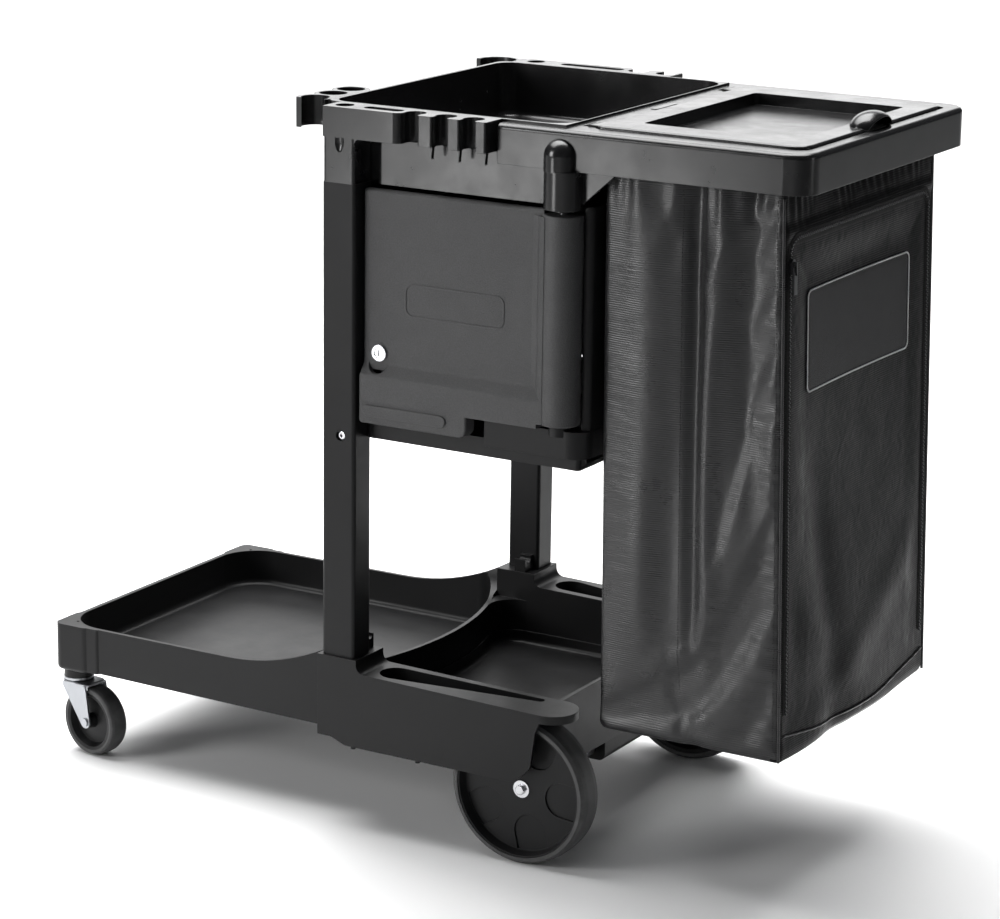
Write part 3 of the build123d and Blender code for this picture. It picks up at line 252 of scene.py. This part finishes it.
def pale_floor():
    s = Shader("pale_floor")
    tone = s.blend(s.noise(1.5, 3, 0.5), grey(0.84), grey(0.88))
    return s.finish(Base_Color=tone, Roughness=0.75)


MATERIALS = {
    "deck_plastic": moulded("deck_black", 0.008, 0.38, shine=0.2),
    "top_plastic": moulded("top_black", 0.007, 0.24, 0.000015, 0.0003),
    "lid_plastic": moulded("lid_black", 0.007, 0.23, 0.000015, 0.0003),
    "upright_plastic": moulded("upright_black", 0.008, 0.38, shine=0.19),
    "wheel_plastic": moulded("wheel_black", 0.010, 0.42, 0.00004, shine=0.2),
    "door_plastic": textured_door("door_charcoal"),
    "tread_rubber": tread_rubber("tread_grey", 0.035),
    "zinc_steel": plated("zinc_plate", (0.38, 0.39, 0.41, 1.0), 0.36),
    "axle_steel": plated("drawn_steel", (0.34, 0.34, 0.35, 1.0), 0.34),
    "bright_metal": plated("bright_plate", (0.66, 0.66, 0.68, 1.0), 0.22, 0.08),
    "bag_vinyl": ribbed_vinyl("ribbed_vinyl", 0.012, 0.31, 0.46),
    "zip_tape": woven("zip_cloth", grey(0.005), grey(0.012), 0.0011),
    "zip_metal": plated("zip_dark_metal", (0.06, 0.06, 0.063, 1.0), 0.32),
    "label_cloth": woven("label_black", grey(0.016, 0.03), grey(0.034, 0.05), 0.0013, 0.55),
}
# The end panel's vinyl is the same ribbed vinyl with a darker colour and less shine: painted shade for the
# bag's end face.
SHADED_END_VINYL = ribbed_vinyl("shaded_end_vinyl", 0.006, 0.34, 0.04)
THREAD = woven("pale_thread", grey(0.55), grey(0.82), 0.0007, 0.6)
DARK_THREAD = woven("dark_thread", grey(0.02), grey(0.05), 0.0007, 0.6)


def dress_cad_nodes():
    """Gives each rigid node the material of its slot in the record."""
    for part in frame["record"]["subparts"]:
        node = frame["nodes"][part["node"]]
        node.data.materials.clear()
        node.data.materials.append(MATERIALS[part["material_slot"]])


dress_cad_nodes()


# ---- bag ---------------------------------------------------------------------------------
def smooth(value, low, high):
    """Rises smoothly from 0 at low to 1 at high."""
    t = np.clip((value - low) / (high - low), 0.0, 1.0)
    return t * t * (3 - 2 * t)


def bell(value, centre, width):
    return np.exp(-(((value - centre) / width) ** 2))


def wall_x(z):
    """X of the bag's front and end walls at height z: it leans out towards its base."""
    share = (z - BAG_Z[0]) / (BAG_Z[1] - BAG_Z[0])
    front = BAG_BOTTOM_X[0] + (BAG_TOP_X[0] - BAG_BOTTOM_X[0]) * share
    end = BAG_BOTTOM_X[1] + (BAG_TOP_X[1] - BAG_BOTTOM_X[1]) * share
    return front, end


def outline_points():
    """Plan of the bag: (share from front to end, y, normal x, normal y, run) at even steps."""
    length = BAG_BOTTOM_X[1] - BAG_BOTTOM_X[0]
    corners = [
        (0, -BAG_HALF, BAG_FRONT_RADIUS, 180), (length, -BAG_HALF, BAG_REAR_RADIUS, 270),
        (length, BAG_HALF, BAG_REAR_RADIUS, 0), (0, BAG_HALF, BAG_FRONT_RADIUS, 90),
    ]
    dense = []
    for x, y, radius, start in corners:
        cx = x + (radius if x == 0 else -radius)
        cy = y + (radius if y < 0 else -radius)
        for step in range(9):
            angle = math.radians(start + 90 * step / 8)
            dense.append((cx + radius * math.cos(angle), cy + radius * math.sin(angle)))
    dense = np.array(dense + dense[:1])
    run = np.concatenate([[0], np.cumsum(np.linalg.norm(np.diff(dense, axis=0), axis=1))])
    count = int(round(run[-1] / BAG_STEP))
    places = np.arange(count) * run[-1] / count
    x = np.interp(places, run, dense[:, 0])
    y = np.interp(places, run, dense[:, 1])
    ahead = np.stack([np.roll(x, -1) - np.roll(x, 1), np.roll(y, -1) - np.roll(y, 1)], axis=1)
    ahead /= np.linalg.norm(ahead, axis=1)[:, None]
    return x / length, y, ahead[:, 1], -ahead[:, 0], places


def zip_distance(y, z):
    """Distance from the centre line of the zip, on the bag's end."""
    side = np.abs(np.abs(y) - ZIP_Y) + np.maximum(z - ZIP_TOP, 0) + np.maximum(ZIP_BOTTOM - z, 0)
    top = np.abs(z - ZIP_TOP) + np.maximum(np.abs(y) - ZIP_Y, 0)
    return np.minimum(side, top)


def gathers(run, z, low, pitch, depth):
    """Gathers under the rim, uneven in width and depth, which run out lower down."""
    bend = np.array([noise.noise(Vector((r * 14, 3.7, 0.0))) for r in run.ravel()]).reshape(run.shape)
    size = np.array([noise.noise(Vector((r * 9, 8.1, 0.0))) for r in run.ravel()]).reshape(run.shape)
    reach = low + 0.03 * bend
    fade = smooth(z, reach, reach + 0.06)
    return depth * np.sin(2 * math.pi * run / pitch + 7.0 * bend) * fade * (0.6 + size)


def near_folds(share, z):
    """Long soft folds of the near side: a pleat beside the seam, a broad ridge, and drapes at the top."""
    length = smooth(z, 0.27, 0.42)
    seam = SEAM_SHARE
    valley = -0.012 * bell(share, seam + 0.055, 0.042) * smooth(share, seam - 0.01, seam + 0.03)
    ridge_at = 0.66 - 0.09 * smooth(0.93 - z, 0.0, 0.45) + 0.012 * np.sin(9 * z)
    ridge = 0.007 * bell(share, ridge_at, 0.080)
    hollow = -0.009 * bell(share, 0.84, 0.09) * smooth(z, 0.40, 0.70)
    band = 0.007 * bell(share, 0.25, 0.15)
    drape_at = 0.93 - 3.0 * np.maximum(0.93 - z, 0) + 9.0 * np.maximum(0.86 - z, 0) ** 2
    drape = 0.0035 * bell(share, drape_at, 0.06) * smooth(z, 0.76, 0.84)
    swag = -0.003 * bell(share, 0.40 + 1.6 * (z - 0.86), 0.05) * smooth(z, 0.80, 0.90)
    foot = -0.0035 * bell(share + 1.1 * (z - 0.30), 0.42, 0.05) * (1 - smooth(z, 0.26, 0.37))
    return length * (valley + ridge + hollow + band) + drape + swag + foot


def end_folds(y, z):
    """The end panel: a slow billow, drawn in towards the bottom corners."""
    clear = smooth(zip_distance(y, z), 0.011, 0.06)
    middle = np.cos(np.clip(y / BAG_HALF, -1, 1) * math.pi / 2)
    billow = -0.006 * middle * smooth(z, 0.30, 0.55) + 0.005 * middle * bell(z, 0.33, 0.13)
    slant = 0.0035 * bell(z + 0.75 * y, 0.26, 0.045) * (1 - smooth(z, 0.30, 0.48))
    slant += 0.003 * bell(z - 0.6 * y, 0.30, 0.04) * (1 - smooth(z, 0.36, 0.52))
    long_fold = -0.004 * bell(y, -0.13 + 0.16 * (0.62 - z), 0.035) * (1 - smooth(z, 0.48, 0.66))
    return clear * (billow + slant + long_fold)


def bag_offset(share, y, nx, ny, run, z):
    """How far the vinyl stands out from the plain cup, before its fine wrinkles."""
    near = smooth(-ny, 0.75, 0.99)
    far = smooth(ny, 0.75, 0.99)
    end = smooth(nx, 0.75, 0.99)
    front = smooth(-nx, 0.75, 0.99)
    edge = smooth(np.minimum(share, 1 - share), 0.015, 0.08)
    offset = near * edge * near_folds(share, z)
    offset += far * edge * near_folds(1 - share + 0.1, z)
    offset += end * end_folds(y, z)
    inner = smooth(z, 0.25, 0.6) * smooth(BAG_HALF - abs(y), 0, 0.06)
    offset += front * 0.004 * np.sin(y * 38 + 5 * z) * inner
    offset += (near + far) * edge * gathers(run, z, 0.862, 0.030, 0.0042)
    offset += end * gathers(run, z, CUFF_Z, 0.019, 0.0034)
    cuff = bell(z, CUFF_Z - 0.003, 0.007)
    offset += 0.0032 * cuff * end
    offset -= 0.006 * smooth(z, 0.93, 0.955)
    return offset


def bag_mesh():
    """The bag as one open cloth: walls from the rim down, then the base drawn in to its middle."""
    share, y, nx, ny, run = outline_points()
    rows = int(round((BAG_Z[1] - BAG_Z[0]) / BAG_STEP))
    heights = np.linspace(BAG_Z[1], BAG_Z[0], rows + 1)
    points = []
    for z in heights:
        level = np.full_like(share, z)
        front, end = wall_x(z)
        x = front + (end - front) * share
        tuck = 0.004 * smooth(BAG_Z[0] + 0.012 - level, 0.0, 0.012)
        offset = bag_offset(share, y, nx, ny, run, level) - tuck
        droop = 0.004 * np.cos(y / BAG_HALF * math.pi / 2) * smooth(0.35 - level, 0.0, 0.15)
        points.append(np.stack([x + nx * offset, y + ny * offset, level - droop], axis=1))
    centre = np.array([sum(BAG_BOTTOM_X) / 2, 0.0, BAG_Z[0] - 0.006])
    last = points[-1]
    for part in (0.94, 0.85, 0.72, 0.56, 0.38, 0.2):
        points.append(centre + (last - centre) * part)
    count = len(share)
    faces = []
    for row in range(len(points) - 1):
        for k in range(count):
            a, b = row * count + k, row * count + (k + 1) % count
            faces.append((a, a + count, b + count, b))
    first = (len(points) - 1) * count
    faces.append((first, first + count - 1, first + 1))
    for k in range(1, (count - 1) // 2):
        faces.append((first + k, first + count - k, first + count - k - 1, first + k + 1))
    if count % 2 == 0:
        faces.append((first + count // 2 - 1, first + count // 2 + 1, first + count // 2))
    return np.concatenate(points), faces


def new_mesh(name, points, faces, material, body="cart"):
    mesh = bpy.data.meshes.new(name)
    mesh.from_pydata([tuple(p) for p in points], [], faces)
    mesh.update()
    for polygon in mesh.polygons:
        polygon.use_smooth = True
    mesh.materials.append(material)
    piece = bpy.data.objects.new(name, mesh)
    bpy.context.scene.collection.objects.link(piece)
    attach(piece, body)
    return piece


def apply_modifiers(piece):
    view = bpy.context.evaluated_depsgraph_get()
    shaped = bpy.data.meshes.new_from_object(piece.evaluated_get(view))
    piece.modifiers.clear()
    piece.data = shaped


def held_weight(points):
    """How firmly the cloth is held: fully at the rim, zip and hem, less at the seams and on the end."""
    x, y, z = points[:, 0], points[:, 1], points[:, 2]
    front, wall = wall_x(z)
    end = smooth(x, wall - 0.014, wall - 0.008)
    weight = smooth(z, 0.925, 0.945)
    weight = np.maximum(weight, end * (1 - smooth(zip_distance(y, z), 0.010, 0.024)))
    corner = (1 - smooth(BAG_HALF - np.abs(y), 0.003, 0.012)) * end
    weight = np.maximum(weight, 0.8 * corner)
    weight = np.maximum(weight, END_HOLD * end)
    on_side_wall = 1 - smooth(BAG_HALF - np.abs(y), 0.008, 0.02)
    seam = bell(x, front + SEAM_SHARE * (wall - front), 0.006) * on_side_wall
    weight = np.maximum(weight, 0.35 * seam)
    hem = 1 - smooth(z, BAG_Z[0] - 0.002, BAG_Z[0] + 0.004)
    return np.maximum(weight, hem)


def settle(piece):
    """Lets the vinyl, cut slightly too large, settle a little between its seams."""
    points = np.array([v.co for v in piece.data.vertices])
    group = piece.vertex_groups.new(name="held")
    for index, weight in enumerate(held_weight(points)):
        if weight > 0.01:
            group.add([index], float(weight), "REPLACE")
    cloth = piece.modifiers.new("Cloth", "CLOTH")
    settings = cloth.settings
    settings.quality = 5
    settings.mass = 0.35
    settings.tension_stiffness = 40
    settings.compression_stiffness = 40
    settings.shear_stiffness = 12
    settings.bending_stiffness = 12
    settings.air_damping = 2.0
    settings.vertex_group_mass = "held"
    settings.pin_stiffness = 1.0
    settings.shrink_min = -0.005
    settings.shrink_max = -0.005
    settings.effector_weights.gravity = 0.2
    cloth.collision_settings.use_collision = False
    scene = bpy.context.scene
    for step in range(1, CLOTH_FRAMES + 1):
        scene.frame_set(step)
    view = bpy.context.evaluated_depsgraph_get()
    moved = np.array([v.co for v in piece.evaluated_get(view).data.vertices])
    piece.modifiers.clear()
    piece.vertex_groups.clear()
    shift = moved - points
    reach = np.linalg.norm(shift, axis=1, keepdims=True)
    shift *= np.minimum(1.0, CLOTH_REACH / np.maximum(reach, 1e-9))
    for vertex, place in zip(piece.data.vertices, points + shift):
        vertex.co = place
    scene.frame_set(1)


def panel_faces(bag):
    """Gives the end panel a copy of the vinyl with a darker colour and less shine: painted shade on that side
    of the bag.
    """
    bag.data.materials.append(SHADED_END_VINYL)
    for face in bag.data.polygons:
        centre = face.center
        at_end = centre.x > wall_x(centre.z)[1] - 0.012 and abs(centre.y) < BAG_HALF - 0.002
        if at_end and centre.z > BAG_Z[0]:
            face.material_index = 1


def make_bag():
    points, faces = bag_mesh()
    bag = new_mesh("bag_skin", points, faces, MATERIALS["bag_vinyl"])
    settle(bag)
    panel_faces(bag)
    bag.modifiers.new("Smooth", "SUBSURF").levels = 1
    bag.modifiers["Smooth"].render_levels = 1
    apply_modifiers(bag)
    pucker(bag)
    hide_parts("bag")
    return bag


def pucker(bag):
    """Small wrinkles that the stitching pulls beside the corner seams and the cuff."""
    for vertex in bag.data.vertices:
        x, y, z = vertex.co
        side = abs(abs(y) - BAG_HALF)
        run = wall_x(z)[1] - x
        if side > 0.016 or run > 0.08 or z > 0.92:
            continue
        wave = noise.noise(Vector((x * 12, math.copysign(3.0, y), z * 70)))
        wave += 0.5 * noise.noise(Vector((x * 20, math.copysign(7.0, y), z * 160)))
        long = noise.noise(Vector((x * 8 + z * 20, math.copysign(5.0, y), z * 24)))
        fade = math.exp(-run / 0.020) * min(1.0, run / 0.006)
        vertex.co.y += math.copysign(0.0036 * wave * fade + 0.003 * max(long, 0) * math.exp(-run / 0.05), y)


bag = make_bag()


# ---- pieces sewn on the bag --------------------------------------------------------------
def skin_finder():
    view = bpy.context.evaluated_depsgraph_get()
    return BVHTree.FromObject(bag, view)


SKIN = skin_finder()


def on_end(y, z, lift):
    """A point on the bag's end face, lifted off it."""
    wall = wall_x(z)[1]
    hit = SKIN.ray_cast(Vector((wall + 0.08, y, z)), Vector((-1, 0, 0)))
    x = hit[0].x if hit[0] else wall
    return Vector((x + lift, y, z))


def zip_line():
    """Points and headings along the zip, up one side, over and down the other."""
    line = []
    for z in np.arange(ZIP_BOTTOM, ZIP_TOP - ZIP_TURN, TOOTH_PITCH):
        line.append((-ZIP_Y, z, 90.0))
    for angle in np.arange(180, 90, -7.0):
        a = math.radians(angle)
        y, z = -ZIP_Y + ZIP_TURN * (1 + math.cos(a)), ZIP_TOP - ZIP_TURN * (1 - math.sin(a))
        line.append((y, z, angle - 90))
    for y in np.arange(-ZIP_Y + ZIP_TURN, ZIP_Y - ZIP_TURN, TOOTH_PITCH):
        line.append((y, ZIP_TOP, 0.0))
    for y, z, heading in list(reversed(line[: -1])):
        if y < -ZIP_Y + ZIP_TURN:
            line.append((-y, z, -heading))
    return line


def make_zip_strip():
    """The cloth tape, a little domed over the teeth's seam."""
    across_steps = [
        (-1.0, 0.0003), (-0.92, 0.0008), (-0.4, 0.0008), (0.0, 0.0009),
        (0.4, 0.0008), (0.92, 0.0008), (1.0, 0.0003),
    ]
    points, faces = [], []
    line = zip_line()[::2]
    for y, z, heading in line:
        a = math.radians(heading)
        for share, lift in across_steps:
            side = share * ZIP_TAPE / 2
            points.append(on_end(y - side * math.sin(a), z + side * math.cos(a), lift))
    width = len(across_steps)
    for row in range(len(line) - 1):
        for k in range(width - 1):
            a = row * width + k
            faces.append((a, a + width, a + width + 1, a + 1))
    tape = new_mesh("zip_strip", points, faces, MATERIALS["zip_tape"])
    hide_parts("zip_tape")
    return tape


def add_box(points, faces, centre, ahead, side, out, size):
    """Adds a small box with its top narrowed, in the given directions."""
    first = len(points)
    for level, narrow in ((-0.5, 1.0), (0.5, 0.72)):
        for u, v in ((-0.5, -0.5), (0.5, -0.5), (0.5, 0.5), (-0.5, 0.5)):
            across = ahead * (u * size[0] * narrow) + side * (v * size[1] * narrow)
            points.append(centre + across + out * (level * size[2]))
    quads = [(0, 3, 2, 1), (4, 5, 6, 7), (0, 1, 5, 4), (1, 2, 6, 5), (2, 3, 7, 6), (3, 0, 4, 7)]
    faces.extend(tuple(first + i for i in quad) for quad in quads)


def make_zip_teeth():
    """Interlocked coil of the zip."""
    points, faces = [], []
    out = Vector((1, 0, 0))
    for index, (y, z, heading) in enumerate(zip_line()):
        a = math.radians(heading)
        ahead = Vector((0, math.cos(a), math.sin(a)))
        side = Vector((0, -math.sin(a), math.cos(a)))
        shift = 0.0009 if index % 2 else -0.0009
        centre = on_end(y, z, 0.0013) + side * shift
        add_box(points, faces, centre, ahead, side, out, (0.0016, 0.0034, 0.0010))
    return new_mesh("zip_teeth", points, faces, MATERIALS["zip_metal"])


def patch_outline(inset, steps=10):
    """Plain rounded rectangle, as points (y, z)."""
    radius = max(PATCH_CORNER - inset, 0.001)
    y0, y1 = PATCH_Y[0] + inset + radius, PATCH_Y[1] - inset - radius
    z0, z1 = PATCH_Z[0] + inset + radius, PATCH_Z[1] - inset - radius
    points = []
    for cy, cz, start in ((y1, z1, 0), (y0, z1, 90), (y0, z0, 180), (y1, z0, 270)):
        for step in range(steps + 1):
            a = math.radians(start + 90 * step / steps)
            points.append((cy + radius * math.cos(a), cz + radius * math.sin(a)))
    return points


def make_patch():
    """Blank cloth patch with a turned edge that follows the bag."""
    rings = [(0.0, 0.0002), (0.0002, 0.0011), (0.003, 0.0013), (0.0042, 0.0009), (0.0055, 0.0012)]
    rings += [(inset, 0.0012) for inset in (0.012, 0.022, 0.033, 0.044, 0.055, 0.0645)]
    dense = []
    for inset, lift in rings:
        loop = patch_outline(inset)
        loop.append(loop[0])
        loop = np.array(loop)
        run = np.concatenate([[0], np.cumsum(np.linalg.norm(np.diff(loop, axis=0), axis=1))])
        share = np.linspace(0, run[-1], 161)[:-1]
        y, z = np.interp(share, run, loop[:, 0]), np.interp(share, run, loop[:, 1])
        dense.append([on_end(a, b, lift) for a, b in zip(y, z)])
    count = len(dense[0])
    points = [p for ring in dense for p in ring]
    faces = []
    for row in range(len(dense) - 1):
        for k in range(count):
            a, b = row * count + k, row * count + (k + 1) % count
            faces.append((a, b, b + count, a + count))
    faces.append(tuple(range((len(dense) - 1) * count, len(dense) * count)))
    patch = new_mesh("label_blank", points, faces, MATERIALS["label_cloth"])
    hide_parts("label_patch")
    return patch


def make_patch_stitches():
    """Satin stitches laid side by side over the edge of the patch."""
    points, faces = [], []
    loop = np.array(patch_outline(0.0012) + patch_outline(0.0012)[:1])
    run = np.concatenate([[0], np.cumsum(np.linalg.norm(np.diff(loop, axis=0), axis=1))])
    for start in np.arange(0, run[-1], PATCH_STITCH_PITCH):
        y, z = np.interp(start, run, loop[:, 0]), np.interp(start, run, loop[:, 1])
        y2, z2 = np.interp(start + 0.001, run, loop[:, 0]), np.interp(start + 0.001, run, loop[:, 1])
        ahead = Vector((0, y2 - y, z2 - z))
        if ahead.length < 1e-6:
            continue
        ahead.normalize()
        side = Vector((0, -ahead.z, ahead.y))
        add_box(points, faces, on_end(y, z, 0.0015), ahead, side, Vector((1, 0, 0)), PATCH_STITCH)
    return new_mesh("label_stitches", points, faces, THREAD)


def on_side(x, z, sign, lift):
    """A point on the bag's near (sign -1) or far (sign 1) face."""
    hit = SKIN.ray_cast(Vector((x, sign * (BAG_HALF + 0.08), z)), Vector((0, -sign, 0)))
    y = hit[0].y if hit[0] else sign * BAG_HALF
    return Vector((x, y + sign * lift, z))


def make_seam_stitches():
    """Rows of stitching beside the rear corner seams and down the side seams."""
    points, faces = [], []
    up, along = Vector((0, 0, 1)), Vector((1, 0, 0))
    for sign in (-1, 1):
        out = Vector((0, sign, 0))
        for z in np.arange(0.215, 0.925, SEAM_STITCH_PITCH):
            front, end = wall_x(z)
            rows = [end - 0.009] if z < 0.265 else [end - 0.009, front + SEAM_SHARE * (end - front) - 0.004]
            for x in rows:
                add_box(points, faces, on_side(x, z, sign, 0.0002), up, along, out, SEAM_STITCH)
    return new_mesh("seam_stitches", points, faces, DARK_THREAD)


def tube(name, path, radius, material, sides=8):
    """A closed round cord along the points of path."""
    points, faces = [], []
    for index, spot in enumerate(path):
        before, after = path[max(index - 1, 0)], path[min(index + 1, len(path) - 1)]
        ahead = (after - before).normalized()
        if index == 0:
            first = ahead.orthogonal()
        first = (first - ahead * first.dot(ahead)).normalized()
        second = ahead.cross(first)
        for k in range(sides):
            a = 2 * math.pi * k / sides
            points.append(spot + (first * math.cos(a) + second * math.sin(a)) * radius)
    for row in range(len(path) - 1):
        for k in range(sides):
            a, b = row * sides + k, row * sides + (k + 1) % sides
            faces.append((a, b, b + sides, a + sides))
    faces.append(tuple(reversed(range(sides))))
    faces.append(tuple(range((len(path) - 1) * sides, len(path) * sides)))
    return new_mesh(name, points, faces, material)


def make_piping():
    """Welted edges of the end panel, up both rear corners and along the hem."""
    for sign, side in ((-1, "left"), (1, "right")):
        y = sign * (BAG_HALF - 0.0012)
        path = [Vector((wall_x(z)[1] - 0.0012, y, z)) for z in np.arange(0.202, 0.93, 0.006)]
        tube("piping_" + side, path, PIPING_RADIUS, MATERIALS["bag_vinyl"])
    path = [on_end(y, 0.236 - 0.022 * math.cos(y / BAG_HALF * math.pi / 2), 0.0008)
            for y in np.linspace(-BAG_HALF + 0.01, BAG_HALF - 0.01, 80)]
    tube("hem_cord", path, HEM_RADIUS, MATERIALS["bag_vinyl"])


make_zip_strip()
make_zip_teeth()
make_patch()
make_patch_stitches()
make_seam_stitches()
make_piping()


# ---- stage -------------------------------------------------------------------------------
def make_floor():
    size = 30.0
    floor = bpy.data.objects.new("floor", bpy.data.meshes.new("floor"))
    corners = [(-size, -size, 0), (size, -size, 0), (size, size, 0), (-size, size, 0)]
    floor.data.from_pydata(corners, [], [(0, 1, 2, 3)])
    floor.data.materials.append(pale_floor())
    bpy.context.scene.collection.objects.link(floor)


def area_light(name, place, target, size, power, spread=180):
    lamp = bpy.data.lights.new(name, "AREA")
    lamp.shape = "RECTANGLE"
    lamp.spread = math.radians(spread)
    lamp.size, lamp.size_y = size
    lamp.energy = power
    light = bpy.data.objects.new(name, lamp)
    light.location = place
    light.rotation_mode = "QUATERNION"
    light.rotation_quaternion = (Vector(target) - Vector(place)).to_track_quat("-Z", "Y")
    bpy.context.scene.collection.objects.link(light)


def make_lights():
    """Big soft boxes above and behind, weak ones in front, and washes on the floor further out."""
    world = bpy.data.worlds.new("studio")
    world.use_nodes = True
    world.node_tree.nodes["Background"].inputs["Color"].default_value = (0.92, 0.95, 1.0, 1.0)
    world.node_tree.nodes["Background"].inputs["Strength"].default_value = 0.08
    bpy.context.scene.world = world
    bpy.context.scene.view_settings.view_transform = "Standard"
    area_light("overhead", (-1.1, 0.9, 3.6), (-0.8, 0.5, 0.0), (4.2, 3.4), 190, 110)
    area_light("far_wash", (-4.0, 7.4, 4.8), (-4.0, 7.4, 0.0), (8.0, 8.0), 460, 120)
    area_light("back_panel", (-3.0, 5.2, 2.4), (0.0, 0.0, 0.9), (5.2, 2.4), 78)
    area_light("near_side", (-2.6, -3.4, 2.0), (0.1, 0.0, 0.85), (1.6, 2.0), 17, 70)
    area_light("low_front", (-1.15, -2.6, 0.36), (0.3, -0.25, 0.9), (0.7, 0.5), 2, 90)
    area_light("near_wash", (3.0, -12.0, 4.8), (3.0, -12.0, 0.0), (9.0, 8.0), 520, 120)
    area_light("side_wash", (-11.0, -3.0, 4.8), (-11.0, -3.0, 0.0), (8.0, 9.0), 420, 120)
    area_light("end_strip", (3.6, 0.7, 1.2), (0.5, 0.0, 0.3), (0.5, 1.6), 6)


def make_camera():
    azimuth, elevation = math.radians(CAMERA_AZIMUTH), math.radians(CAMERA_ELEVATION)
    roll = math.radians(CAMERA_ROLL)
    back = Vector((
        math.sin(azimuth) * math.cos(elevation), -math.cos(azimuth) * math.cos(elevation), math.sin(elevation)
    ))
    right = Vector((math.cos(azimuth), math.sin(azimuth), 0.0))
    up = back.cross(right)
    tilted_right = right * math.cos(roll) + up * math.sin(roll)
    tilted_up = up * math.cos(roll) - right * math.sin(roll)
    data = bpy.data.cameras.new("camera")
    data.lens = CAMERA_LENS
    data.sensor_width = 36.0
    data.clip_end = 100.0
    camera = bpy.data.objects.new("camera", data)
    axes = Matrix((tilted_right, tilted_up, back)).transposed().to_4x4()
    camera.matrix_world = Matrix.Translation(CAMERA_PLACE) @ axes
    bpy.context.scene.collection.objects.link(camera)
    bpy.context.scene.camera = camera


make_floor()
make_lights()
make_camera()
